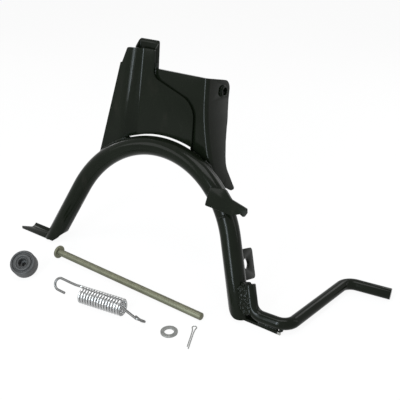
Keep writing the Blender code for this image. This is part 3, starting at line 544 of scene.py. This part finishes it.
# %% Lever from the leg to its tip
LEVER_ROUND_LEG, BESIDE_LEG, FOOT_BEND, BACK_BEND = math.radians(-8), 0.026, 0.018, 0.020
foot = STAND + Vector((FOOT_HALF_SPACING, 0, 0))
leg_foot = foot + Vector((0, 0, TUBE_RADIUS))
up_leg = (in_arch(0, 0, 0) - in_arch(*leg_way)).normalized()
side = Vector((math.cos(LEVER_ROUND_LEG), math.sin(LEVER_ROUND_LEG), 0))
side = (side - up_leg * side.dot(up_leg)).normalized()
beside_foot = leg_foot + side * (TUBE_RADIUS + LEVER_RADIUS + GAP)
on_plate = FOOT_SHEET + GAP + LEVER_RADIUS
lever_top = beside_foot + up_leg * BESIDE_LEG
lever_foot = beside_foot + up_leg * (on_plate - beside_foot.z) / up_leg.z
lever_turn = foot + Vector((0.0722, -0.0010, on_plate))
lever_back = foot + Vector((0.0902, 0.1350, LEVER_RADIUS + 0.0012))
lever_tip = foot + Vector((0.1502, 0.1452, LEVER_RADIUS))
lever = bent_bar("foot_lever", [(lever_top, 0), (lever_foot, FOOT_BEND), (lever_turn, FOOT_BEND),
                                (lever_back, BACK_BEND), (lever_tip, 0)], LEVER_RADIUS, 40, 16)
bpy.ops.mesh.select_mode(type='EDGE')
bpy.ops.mesh.select_all(action='SELECT')
bpy.ops.mesh.fill_holes(sides=0)
face_outwards()
done_editing()
round_edges(lever, 0.0006, 60)
smooth(lever)
dress(lever, smooth_paint, "lever_rod")

# %% [markdown]
# ## Turned pieces
#
# Bushes, pin, washer and buffer are all round, so all are turned on the same lathe. By hand it is a
# circle, extruded and scaled again and again up the axis, and the function takes those steps as a
# list of (radius, height). A piece with a bore goes up outside, down inside, and closes on itself.

# %% A lathe made of extrude and resize
def lathe(name, profile, sides, place, edge, sharp=30):
    bored = profile[0] == profile[-1]
    bpy.ops.object.select_all(action='DESELECT')
    bpy.ops.mesh.primitive_circle_add(vertices=sides, radius=profile[0][0],
                                      fill_type='NOTHING' if bored else 'NGON',
                                      location=(0, 0, profile[0][1]))
    piece = bpy.context.object
    piece.name = name
    edit(settle(piece))
    for (radius, height), (wider, higher) in zip(profile, profile[1:]):
        rise = {"value": (0, 0, higher - height)}
        bpy.ops.mesh.extrude_region_move(TRANSFORM_OT_translate=rise)
        if abs(wider - radius) > 1e-7:
            grow = wider / radius
            bpy.ops.transform.resize(value=(grow, grow, 1), center_override=(0, 0, higher))
    bpy.ops.mesh.select_all(action='SELECT')
    bpy.ops.mesh.remove_doubles(threshold=0.000005)
    bpy.ops.mesh.normals_make_consistent(inside=False)
    done_editing()
    round_edges(piece, edge, sharp)
    settle(piece, place)
    smooth(piece)
    return piece


# %% Two bushes on the pivot's axis
BUSH_HALF_LENGTH, BUSH_RADIUS, BUSH_BORE = 0.0045, 0.0075, 0.0054
bush_turn = Matrix.Rotation(-BODY_LEAN, 4, 'X') @ Matrix.Rotation(math.radians(90), 4, 'Y')
bush_profile = [(BUSH_RADIUS, -BUSH_HALF_LENGTH), (BUSH_RADIUS, BUSH_HALF_LENGTH),
                (BUSH_BORE, BUSH_HALF_LENGTH), (BUSH_BORE, -BUSH_HALF_LENGTH),
                (BUSH_RADIUS, -BUSH_HALF_LENGTH)]
for name, node, across in (("left_bush_turned", "left_pivot_bush", -0.0588),
                           ("right_bush_turned", "right_pivot_bush", 0.05905)):
    place = Matrix.Translation(in_body(across, PIVOT_BACK, PIVOT_UP)) @ bush_turn
    dress(lathe(name, bush_profile, 48, place, 0.0005), smooth_paint, node)

# %% [markdown]
# ## Pivot pin
#
# The stand swings on this headed pin, and the split pin goes through the small hole near its far
# end. Its profile has the head's two rims, a shallow dimple in the head and a chamfer at the tip.
# The hole is drilled by a Boolean while the pin still stands at the origin, where its place is easy
# to say. On the floor the pin rests on its head's rim and on its tip, and the tilt is worked out
# from those two.

# %% Pin: turn it, drill it, lay it down
PIN_RADIUS, HEAD_RADIUS, PIN_LENGTH, HEAD_THICKNESS = 0.005, 0.00975, 0.262, 0.004
RIM, CHAMFER = 0.0012, 0.0012
DIMPLE_RADIUS, DIMPLE_DEPTH = 0.004, 0.0006
SPLIT_HOLE_RADIUS, SPLIT_HOLE_UP, SPLIT_HOLE_TURN = 0.0017, 0.007, math.radians(-58)
top = PIN_LENGTH / 2
under = top - HEAD_THICKNESS
pin = lathe("pivot_pin_turned", [
    (PIN_RADIUS - CHAMFER, -top), (PIN_RADIUS, CHAMFER - top), (PIN_RADIUS, under),
    (HEAD_RADIUS - RIM, under), (HEAD_RADIUS, under + RIM), (HEAD_RADIUS, top - RIM),
    (HEAD_RADIUS - 0.3 * RIM, top - 0.3 * RIM), (HEAD_RADIUS - 2 * RIM, top - 0.0001),
    (DIMPLE_RADIUS, top - 0.0001), (DIMPLE_RADIUS - 0.0006, top - DIMPLE_DEPTH),
    (0.001, top - DIMPLE_DEPTH - 0.0001)], 56, Matrix.Identity(4), 0.00025)
bpy.ops.object.select_all(action='DESELECT')
bpy.ops.mesh.primitive_cylinder_add(vertices=24, radius=SPLIT_HOLE_RADIUS, depth=6 * PIN_RADIUS,
                                    location=(0, 0, SPLIT_HOLE_UP - top),
                                    rotation=(math.radians(90), 0, SPLIT_HOLE_TURN))
cut_away(pin, bpy.context.object)
tilt = math.atan2(HEAD_RADIUS - PIN_RADIUS, under + RIM + top - CHAMFER)
lift = (top - CHAMFER) * math.sin(tilt) + PIN_RADIUS * math.cos(tilt)
settle(pin, laid_out(0.0052, -0.0392, lift) @ Matrix.Rotation(tilt - math.radians(90), 4, 'Y'))
smooth(pin)
dress(pin, olive, "pivot_pin")

# %% [markdown]
# ## Washer
#
# The washer was punched from strip, so it is a flat ring with slightly rolled edges. Four steps of
# the lathe make it: up outside, in over the top, down the bore and back.

# %% Washer
WASHER_RADIUS, WASHER_BORE, WASHER_THICKNESS = 0.011, 0.0061, 0.002
washer = lathe("flat_washer_punched", [
    (WASHER_RADIUS, 0), (WASHER_RADIUS, WASHER_THICKNESS), (WASHER_BORE, WASHER_THICKNESS),
    (WASHER_BORE, 0), (WASHER_RADIUS, 0)], 72, laid_out(0.1167, -0.0831, 0), 0.00028)
dress(washer, dull, "flat_washer")

# %% [markdown]
# ## Wire: the spring
#
# The spring pulls the stand up. A coil with a hook at each end is one continuous line, and no spin
# or extrude follows it well. A curve does: its points are worked out turn by turn, it is given the
# wire's thickness, and `object.convert` makes it a mesh. The corners where hook and coil meet are
# cut off twice, as a carpenter rounds an edge, so that the wire flows.

# %% Wire along a line of points
def evenly(first, last, steps):
    """Numbers at even steps, both ends included."""
    return [first + (last - first) * step / steps for step in range(steps + 1)]


def softened(line):
    """Cut every corner of a line, twice over."""
    for _ in range(2):
        cut = [line[0]]
        for here, there in zip(line, line[1:]):
            cut += [here.lerp(there, 0.25), here.lerp(there, 0.75)]
        line = cut + [line[-1]]
    return line


def wire(name, line, radius, rings):
    data = bpy.data.curves.new(name, 'CURVE')
    data.dimensions = '3D'
    data.bevel_depth = radius
    data.bevel_resolution = rings
    data.use_fill_caps = True
    spline = data.splines.new('POLY')
    spline.points.add(len(line) - 1)
    for point, at in zip(spline.points, line):
        point.co = (*at, 1)
    piece = bpy.data.objects.new(name, data)
    bpy.context.scene.collection.objects.link(piece)
    only(piece)
    bpy.ops.object.convert(target='MESH')
    piece = bpy.context.object
    edit(piece)
    bpy.ops.mesh.remove_doubles(threshold=0.000005)
    done_editing()
    return piece


# %% Hooks of the spring, each along +X from the coil's end
WIRE_RADIUS, COIL_RADIUS, HOOK_RADIUS = 0.0017, 0.00995, 0.00825
SETTLES, HOOK_TAIL = 0.3, 0.010


def hook_line(length, drift, crossing):
    """Length is to the hook's far side, drift is sideways there, crossing turns it round."""
    straight = length - HOOK_RADIUS
    line = [Vector((0, 0, COIL_RADIUS)), Vector((straight * SETTLES, 0, HOOK_RADIUS)),
            Vector((straight, 0, HOOK_RADIUS))]
    line += [Vector((straight + HOOK_RADIUS * math.sin(angle), 0, HOOK_RADIUS * math.cos(angle)))
             for angle in evenly(0, math.pi, 12)[1:-1]]
    line += [Vector((straight, 0, -HOOK_RADIUS)), Vector((straight - HOOK_TAIL, 0, -HOOK_RADIUS))]
    turned = [Matrix.Rotation(crossing, 3, 'X') @ point for point in line]
    return [point + Vector((0, *drift)) * min(1, point.x / straight) for point in turned]


# %% Return spring: hook, fifteen turns, part of a turn that rises, hook
RISING, CROSSING, STEPS, ROLL = 0.003, math.radians(75), 30, math.radians(-30)


def on_coil(angle, along):
    return Vector((along, COIL_RADIUS * math.sin(angle), COIL_RADIUS * math.cos(angle)))


count = TURNS * STEPS
coil = [on_coil(math.tau * step / STEPS, HALF_COIL * (2 * step / count - 1))
        for step in range(1, count + 1)]
lead = round(STEPS * (1 - CROSSING / math.tau))
coil += [on_coil(math.tau * step / STEPS, HALF_COIL + RISING * step / lead)
         for step in range(1, lead)]
left = [Vector((-HALF_COIL - RISING - at.x, at.y, at.z))
        for at in hook_line(0.0415, (0, 0.0045), 0)]
right = [Vector((HALF_COIL + RISING + at.x, at.y, at.z))
         for at in hook_line(0.036, (-0.0060, -0.0075), CROSSING)]
spring = wire("return_spring_wound", softened(left[::-1]) + coil + softened(right), WIRE_RADIUS, 6)
settle(spring, spring_place @ Matrix.Rotation(ROLL, 4, 'X'))
smooth(spring, 60)
dress(spring, bright, "return_spring")

# %% [markdown]
# ## Split pin
#
# One wire, folded into an eye and two legs, keeps the pivot pin in. One leg is a little shorter, so
# that a fingernail can part them. Half of the outline is worked out and the other half mirrors it.

# %% Split pin
SPLIT_RADIUS, LEG_LENGTH, SHORTER_BY, EYE_OUTER = 0.0007, 0.0405, 0.0035, 0.0036
apart, eye = GAP + SPLIT_RADIUS, EYE_OUTER - SPLIT_RADIUS
throat = eye * 1.9 + 0.002
upper = [Vector((LEG_LENGTH, apart, 0)), Vector((throat, apart, 0))]
upper += [Vector((eye * math.cos(math.radians(angle)), eye * math.sin(math.radians(angle)), 0))
          for angle in evenly(35, 180, 12)[1:-1]]
lower = [Vector((at.x, -at.y, 0)) for at in reversed(upper)]
lower[-1].x -= SHORTER_BY
split = wire("split_pin_folded", softened(upper + [Vector((-eye, 0, 0))] + lower), SPLIT_RADIUS, 4)
settle(split, laid_out(0.1376, -0.0580, SPLIT_RADIUS, -66.2))
smooth(split, 60)
dress(split, dull, "split_pin")

# %% [markdown]
# ## Rubber buffer
#
# The buffer stops the stand against the exhaust. It is moulded: a thick disc with a raised ring on
# its face, a groove on each side of the ring, and a cup in the middle where the core of the mould
# stood. All of that is one turned profile. Its stud is pressed into the buffer plate. On the floor
# it leans on its back rim and the end of the stud.

# %% Buffer with its ring, grooves and cup
BUFFER_RADIUS, BUFFER_THICKNESS, STUD_LENGTH, BUFFER_EDGE = 0.0182, 0.017, 0.0085, 0.0015
STUD_RADIUS, STUD_EDGE, CUP_RADIUS, CUP_DEPTH, BORE = 0.0070, 0.001, 0.0058, 0.009, 0.0031
RING_PROFILE = ((0.0152, 0), (0.0142, 0.0022), (0.0128, 0.0024), (0.0118, 0.0002), (0.0108, 0),
                (0.0096, 0.0002), (0.0088, 0.0019), (0.0078, 0.0019), (0.0072, 0.0006),
                (0.0064, 0.0008))
rim_reach, stud_reach = BUFFER_RADIUS - BUFFER_EDGE, STUD_RADIUS - STUD_EDGE
face = BUFFER_THICKNESS
profile = [(BORE, -STUD_LENGTH), (stud_reach, -STUD_LENGTH), (STUD_RADIUS, STUD_EDGE - STUD_LENGTH),
           (STUD_RADIUS, 0), (rim_reach, 0), (BUFFER_RADIUS, BUFFER_EDGE),
           (BUFFER_RADIUS, face - BUFFER_EDGE), (rim_reach, face)]
profile += [(radius, face - depth) for radius, depth in RING_PROFILE]
profile += [(CUP_RADIUS, face - CUP_DEPTH), (BORE, face - CUP_DEPTH), (BORE, -STUD_LENGTH)]
lean = math.atan2(STUD_LENGTH, rim_reach - stud_reach)
place = (laid_out(-0.1333, -0.0945, rim_reach * math.sin(lean), -62)
         @ Matrix.Rotation(lean, 4, 'Y'))
buffer = lathe("rubber_buffer_moulded", profile, 96, place, 0.0003, 20)
dress(buffer, rubber, "rubber_buffer")

# %% [markdown]
# ## Welds
#
# The solids stand 0.3 mm apart, and weld metal is what joins them. A bead of weld is a row of small
# pools, each laid over the edge of the last. So one flat drop is modelled and copied along the
# joint, and the drops are fused by a voxel remesh. A welder's hand isn't a machine: each drop gets
# some play in its place and size, from a fixed seed, which keeps every run the same. The fused bead
# is then smoothed, as molten metal smooths itself. It is sunk into the joint, so that only its
# crown shows.

# %% Drops along a line
DROP_FLATNESS, WELD_VOXEL = 0.62, 0.00042
play = random.Random(7)


def along(line, step):
    """Points along a line at even steps, with the way it runs there."""
    found, left_over = [], 0.0
    for here, there in zip(line, line[1:]):
        run = there - here
        at = left_over
        while at < run.length:
            found.append((here + run * (at / run.length), run.normalized()))
            at += step
        left_over = at - run.length
    return found


def drops_along(line, size, step, lumps):
    bpy.ops.object.select_all(action='DESELECT')
    bpy.ops.mesh.primitive_uv_sphere_add(segments=16, ring_count=10, radius=1)
    first = bpy.context.object
    edit(first)
    bpy.ops.transform.resize(value=(1, 1, DROP_FLATNESS))
    done_editing()
    drops = []
    for at, way in along(line, step):
        copy = bpy.data.objects.new("drop", first.data.copy())
        bpy.context.scene.collection.objects.link(copy)
        shift = Vector([play.uniform(-lumps, lumps) for _ in range(3)]) * size
        grow = size * play.uniform(1 - lumps, 1 + lumps)
        copy.matrix_world = (Matrix.Translation(at + shift)
                             @ way.to_track_quat('Z', 'Y').to_matrix().to_4x4()
                             @ Matrix.Diagonal((grow, grow, grow, 1)))
        drops.append(copy)
    bpy.data.objects.remove(first)
    return drops


# %% Bead of weld: drops joined, fused and smoothed
def weld(name, line, size, step=0.0012, lumps=0.13, flow_times=7):
    """Size is a drop's radius, step the way from drop to drop, lumps the play as a share."""
    drops = drops_along(line, size, step, lumps)
    only(drops[0])
    for copy in drops:
        copy.select_set(True)
    bpy.ops.object.join()
    bead = bpy.context.object
    bead.name = name
    settle(bead)
    fuse = bead.modifiers.new("fuse", 'REMESH')
    fuse.mode = 'VOXEL'
    fuse.voxel_size = WELD_VOXEL
    flow = bead.modifiers.new("flow", 'SMOOTH')
    flow.factor = 0.5
    flow.iterations = flow_times
    apply_all(bead)
    smooth(bead, 60)
    dress(bead, weld_paint, None)


# %% [markdown]
# ### Where the pressings meet the tube
#
# The joint is where a flat sheet meets a round tube that bends away from it. At each angle round
# the arch there is one point of the tube's section that lies in the sheet's plane. The sum has no
# handy closed form once the sheet is folded, so it is found by halving an interval.

# %% Points on the tube, and the same points seen from the pressings
def on_tube(turn, round_tube):
    """Point on the tube at an angle round the arch and an angle round its section."""
    out = ARCH_RADIUS + TUBE_RADIUS * math.cos(round_tube)
    return Vector((out * math.sin(turn), TUBE_RADIUS * math.sin(round_tube),
                   ARCH_CENTRE + out * math.cos(turn)))


def to_body(point):
    """The same point (across, back, up) seen in the pressings' plane."""
    turn = Matrix.Rotation(BODY_LEAN, 3, 'X') @ Matrix.Rotation(-ARCH_LEAN, 3, 'X')
    return turn @ (point - Vector((0, 0, ARCH_HEIGHT))) - Vector((0, BODY_BACK, -BODY_DROP))


def halved(near, far, short_of):
    """The number between two others at which a test stops holding."""
    for _ in range(30):
        middle = (near + far) / 2
        if short_of(middle):
            near = middle
        else:
            far = middle
    return near


# %% The lines where the two webs cut the tube
BRIM_FORWARD, WALL_DEPTH, STEEPEST = 0.015, 0.011, math.radians(85)


def left_front(at):
    """How far back the front face of the left pressing is, from its brim over its wall."""
    bend, wall_foot = -0.0728 + 0.125 * at.z, -0.0537 + 0.077 * at.z
    share = (at.x - bend) / (wall_foot - bend)
    return -BRIM_FORWARD + WALL_DEPTH * min(1, max(0, share))


def seam(first, last, depth):
    """Line on the tube where a sheet face meets it, between two places across."""
    line = []
    first, last = (math.asin(across / (ARCH_RADIUS + TUBE_RADIUS)) for across in (first, last))
    for turn in evenly(first, last, 30):
        def in_front(round_tube):
            at = to_body(on_tube(turn, round_tube))
            return at.y < depth(at)
        line.append(in_arch(*on_tube(turn, halved(-STEEPEST, STEEPEST, in_front))))
    return line


for name, first, last, depth, size, step in (
        ("left_pressing_front", -0.1215, -0.0655, left_front, 0.0026, 0.0014),
        ("left_pressing_back", -0.112, -0.030, lambda at: left_front(at) + SHEET, 0.0023, 0.0012),
        ("right_pressing_front", 0.0420, 0.0700, lambda at: 0.0, 0.0026, 0.0014),
        ("right_pressing_back", -0.020, 0.062, lambda at: SHEET, 0.0022, 0.0012)):
    weld(f"weld_{name}", seam(first, last, depth), size, step)

# %% The cheek's outer and inner face along the tube, from its front bend to the spur
CHEEK_ACROSS, FLARE_FROM, FLARE_RADIUS, SUNK = 0.0608, 0.085, 0.290, 0.0004


def cheek_across(up):
    """The cheek is upright above, and flares outwards on a radius below."""
    drop_down = max(0.0, FLARE_FROM - up)
    return CHEEK_ACROSS + FLARE_RADIUS - math.sqrt(FLARE_RADIUS ** 2 - drop_down ** 2)


def cheek_seam(offset):
    line = []
    for round_tube in map(math.radians, evenly(12, 90, 24)):
        def inside(turn):
            at = to_body(on_tube(turn, round_tube))
            return at.x < cheek_across(at.z) + offset
        line.append(in_arch(*on_tube(halved(0.2, 1.0, inside), round_tube)))
    return line


weld("weld_cheek_outside", cheek_seam(SUNK), 0.0021)
weld("weld_cheek_inside", cheek_seam(-SHEET - SUNK), 0.0021)

# %% [markdown]
# ### Where the lever is welded on
#
# The lever takes the rider's whole weight, so it has the most weld of all: the welder wove from
# side to side down each groove between it and the leg, filled the root below, ran once over its top
# and once along each side of it on the foot plate. The weave is a zigzag of three points a row, and
# its drops are larger and rougher than the rest.

# %% Grooves between the lever and the leg
ROW = 0.0026
round_side = up_leg.cross(side)


def beside_leg(out, round_leg, up):
    """Point by its distance from the leg's axis, round it and up it."""
    return leg_foot + side * out + round_side * round_leg + up_leg * up


for name, way in (("front", -1), ("back", 1)):
    weave = []
    for row in range(13):
        up = 0.0235 - ROW * row
        # On the leg, over the groove, on the lever
        ends = [beside_leg(0.0098, 0.0078 * way, up), beside_leg(0.0150, 0.0055 * way, up - 0.0006),
                beside_leg(0.0210, 0.0050 * way, up - 0.0012)]
        weave += ends if row % 2 else reversed(ends)
    weld(f"weld_lever_to_leg_{name}", weave, 0.0035, 0.0021, lumps=0.24, flow_times=16)
root = [beside_leg(0.0150 + 0.003 * (row % 2), across, -0.0010 - ROW * row)
        for row in range(4) for across in (-0.0055, 0.0, 0.0055)]
weld("weld_lever_root", root, 0.0036, 0.0020, lumps=0.15, flow_times=12)
cap = [lever_top + up_leg * 0.0004 + side * (0.0060 * math.cos(turn) - 0.0040)
       + round_side * 0.0058 * math.sin(turn) for turn in map(math.radians, evenly(90, 270, 16))]
weld("weld_lever_top", cap, 0.0028, 0.0014)

# %% The lever's run along the foot plate
BESIDE_LEVER, RUN_SIZE, RUN_STEP = 0.0036, 0.0026, 0.0015
run_way = (lever_turn - lever_foot).normalized()
sideways = Vector((-run_way.y, run_way.x, 0)) * BESIDE_LEVER
for name, way in (("front", -1), ("back", 1)):
    start = lever_foot + run_way * 0.010 + sideways * way
    end = lever_turn - run_way * 0.012 + sideways * way
    start.z = end.z = FOOT_SHEET + 0.0008
    weld(f"weld_lever_to_skid_{name}", [start, end], RUN_SIZE, RUN_STEP)
tail = lever_foot + run_way * ((skid_high[0] - 0.0012 - lever_foot.x) / run_way.x)
tail.z = FOOT_SHEET + 0.0010
weld("weld_skid_end", [tail - sideways, tail + sideways], RUN_SIZE, RUN_STEP)

# %% [markdown]
# ### The left foot
#
# The left leg has no lever to hold it, and one short bead shows at the outer side of its cut end.
# The cut end's outline is the tube's section, slid along the leg to the foot plate's level.

# %% Left leg's end on its foot plate
def left_foot_outline(first, last):
    """Outline of the tube on its foot plate; angles in degrees, from the outer side."""
    way = (in_arch(-leg_way.x, 0, leg_way.z) - in_arch(0, 0, 0)).normalized()
    centre = STAND + Vector((-FOOT_HALF_SPACING, 0, TUBE_RADIUS))
    outward = Vector((-1, 0, 0))
    outward = (outward - way * outward.dot(way)).normalized()
    round_way = way.cross(outward)
    line = []
    for angle in map(math.radians, evenly(first, last, 24)):
        at = centre + (outward * math.cos(angle) + round_way * math.sin(angle)) * TUBE_RADIUS
        line.append(at + way * ((level + 0.0006 - at.z) / way.z))
    return line


weld("weld_left_foot", left_foot_outline(-20, 20), 0.0024)

# %% [markdown]
# ### The small plates and the bushes
#
# The hook plate, the buffer plate, the channel and the ear carry little, and each has a short bead
# on both sides. The hook plate lies over the tube's front, so its bead has to follow the tube's
# section down. A bush has a fine bead all round, on both faces of its plate.

# %% Hook plate and buffer plate on the tube
HOOK_PLATE_HALF, BUFFER_PLATE_HALF = 0.0065, 0.0026
for name, turn in (("upper", math.radians(42.8)), ("lower", math.radians(56.5))):
    line = []
    for off in evenly(-HOOK_PLATE_HALF, HOOK_PLATE_HALF, 12):
        out, forward = ARCH_RADIUS + off, math.sqrt(TUBE_RADIUS ** 2 - off ** 2) - 0.0002
        line.append(in_arch(out * math.sin(turn), -forward, ARCH_CENTRE + out * math.cos(turn)))
    weld(f"weld_hook_plate_{name}", line, 0.0019, 0.0011)

leg_turn = Matrix.Rotation(-LEG_SPLAY, 3, 'Y')
for name, across in (("outer", BUFFER_PLATE_HALF), ("inner", -BUFFER_PLATE_HALF)):
    ends = [Vector((FOOT_HALF_SPACING, 0, 0)) + leg_turn @ Vector((across, TUBE_RADIUS + SUNK, up))
            for up in (0.028, 0.070)]
    weld(f"weld_buffer_plate_{name}", [in_arch(*end) for end in ends], 0.0019, 0.0012)

# %% Channel and ear on the webs, and a ring round each bush
RING_RADIUS = BUSH_RADIUS + 0.0001
for name, across, back, low, high, size, step in (
        ("channel_right", -0.0256, 0.0004, 0.044, 0.113, 0.0019, 0.0013),
        ("channel_left", -0.0636, 0.0004, 0.044, 0.126, 0.0019, 0.0013),
        ("ear_outer", -0.0612, 0.0103, 0.056, 0.097, 0.0017, 0.0011),
        ("ear_inner", -0.0564, 0.0103, 0.056, 0.097, 0.0017, 0.0011)):
    weld(f"weld_{name}", [in_body(across, back, low), in_body(across, back, high)], size, step)
for name, across in (("left_ear_outer", -0.0611), ("left_ear_inner", -0.0565),
                     ("cheek_outer", 0.0611), ("cheek_inner", 0.0570)):
    ring = [in_body(across, PIVOT_BACK + RING_RADIUS * math.cos(turn),
                    PIVOT_UP + RING_RADIUS * math.sin(turn)) for turn in evenly(0, math.tau, 32)]
    weld(f"weld_bush_{name}", ring, 0.0010, 0.0010)

# %% [markdown]
# ## World and floor
#
# The photograph was cut out on white, so the floor and the world are white to the camera and in
# reflections, whatever the lamps do. Light Path tells which rays those are. To all other rays the
# world is a dimmer, even light, and the floor is an ordinary pale surface that still takes a soft
# shadow under the object.

# %% A world that is white to the eye
AMBIENT, FLOOR_GLOW = 0.45, 0.92


def seen_by_eye(tree):
    """1 on rays that reach the eye straight, mirrored or through glass."""
    rays = tree.nodes.new("ShaderNodeLightPath")
    camera_ray, mirrored, through = (Value(rays.outputs[kind]) for kind in (
        "Is Camera Ray", "Is Glossy Ray", "Is Transmission Ray"))
    return camera_ray | mirrored | through


world = bpy.data.worlds.new("studio")
bpy.context.scene.world = world
world.use_nodes = True
tree = world.node_tree
background = tree.nodes["Background"]
strength = seen_by_eye(tree) * (1 - AMBIENT) + AMBIENT
tree.links.new(strength.socket, background.inputs["Strength"])
background.inputs["Color"].default_value = (1, 1, 1, 1)
print("world light on the object:", AMBIENT)

# %% A floor that is white to the eye and takes a shadow
paint = Paint("white_floor")
paint.set(Base_Color=(0.88, 0.88, 0.88, 1), Roughness=0.9, Specular_IOR_Level=0.1)
glow = paint.tree.nodes.new("ShaderNodeEmission")
mixed = paint.tree.nodes.new("ShaderNodeMixShader")
paint.join(mixed.inputs[0], seen_by_eye(paint.tree) * FLOOR_GLOW)
paint.tree.links.new(paint.shader.outputs[0], mixed.inputs[1])
paint.tree.links.new(glow.outputs[0], mixed.inputs[2])
paint.tree.links.new(mixed.outputs[0], paint.tree.nodes["Material Output"].inputs[0])
bpy.ops.object.select_all(action='DESELECT')
bpy.ops.mesh.primitive_plane_add(size=24, location=(0, 0, -0.0002))
floor = bpy.context.object
floor.name = "floor"
floor.data.materials.append(paint.done())

# %% [markdown]
# ## Lamps
#
# A gloss black piece shows nothing but its lamps, so each lamp is chosen for the streak that it
# leaves. A tall window in front lights the flat sheets evenly, and a narrow tube inside it draws
# the sharp line along the arch and the lever. Both are a little blue, as daylight is. A second
# window, two side strips and a window behind give the other bends their edge, and a broad lamp
# overhead gives the soft shadow.

# %% Windows, strips and the lamp overhead
DAYLIGHT, CLEAR_SKY = (0.86, 0.95, 1.0), (0.80, 0.92, 1.0)


def lamp(name, place, target, width, height, power, colour=(1, 1, 1)):
    data = bpy.data.lights.new(name, 'AREA')
    data.shape = 'RECTANGLE'
    data.size, data.size_y, data.energy, data.color = width, height, power, colour
    made = bpy.data.objects.new(name, data)
    bpy.context.scene.collection.objects.link(made)
    made.location = place
    way = Vector(target) - Vector(place)
    made.rotation_euler = way.to_track_quat('-Z', 'Y').to_euler()
    made.visible_camera = False
    print(f"{name}: {power} W")


lamp("overhead", (0.1, -0.1, 1.5), (0, 0, 0.1), 0.9, 0.6, 8)
lamp("front_window", (0.06, -1.02, 0.52), (0.02, 0, 0.30), 0.46, 1.0, 6.5, DAYLIGHT)
lamp("left_window", (-0.75, -0.85, 0.72), (0, 0, 0.08), 0.55, 0.55, 2.5)
lamp("front_tube", (0.08, -1.0, 0.52), (0.02, 0, 0.30), 0.10, 1.0, 7.0, CLEAR_SKY)
lamp("strip_right", (1.2, 0.5, 0.8), (0, 0, 0.15), 0.20, 0.9, 1.5)
lamp("strip_left", (-1.2, 0.3, 0.9), (0, 0, 0.15), 0.20, 0.9, 3)
lamp("back_window", (0.35, 1.1, 0.75), (0, 0, 0.15), 0.50, 0.70, 4)

# %% [markdown]
# ## Camera
#
# The camera looks down at 27 degrees from the right, as the photographer did. Its place and angles
# were found by fitting points of the stand to the photograph.

# %% Camera at the photograph's angle
LOOKS_DOWN, LOOKS_ROUND = 27.12, 35.325
camera = bpy.data.objects.new("camera", bpy.data.cameras.new("camera"))
bpy.context.scene.collection.objects.link(camera)
camera.location = (0.47497, -0.59540, 0.51087)
camera.rotation_euler = (math.radians(90 - LOOKS_DOWN), 0, math.radians(LOOKS_ROUND))
camera.data.lens = 57.32
camera.data.sensor_width = 36
camera.data.sensor_fit = 'HORIZONTAL'
camera.data.clip_start = 0.01
bpy.context.scene.camera = camera
bpy.context.scene.view_settings.view_transform = 'Standard'
print("camera at:", camera.location[:])
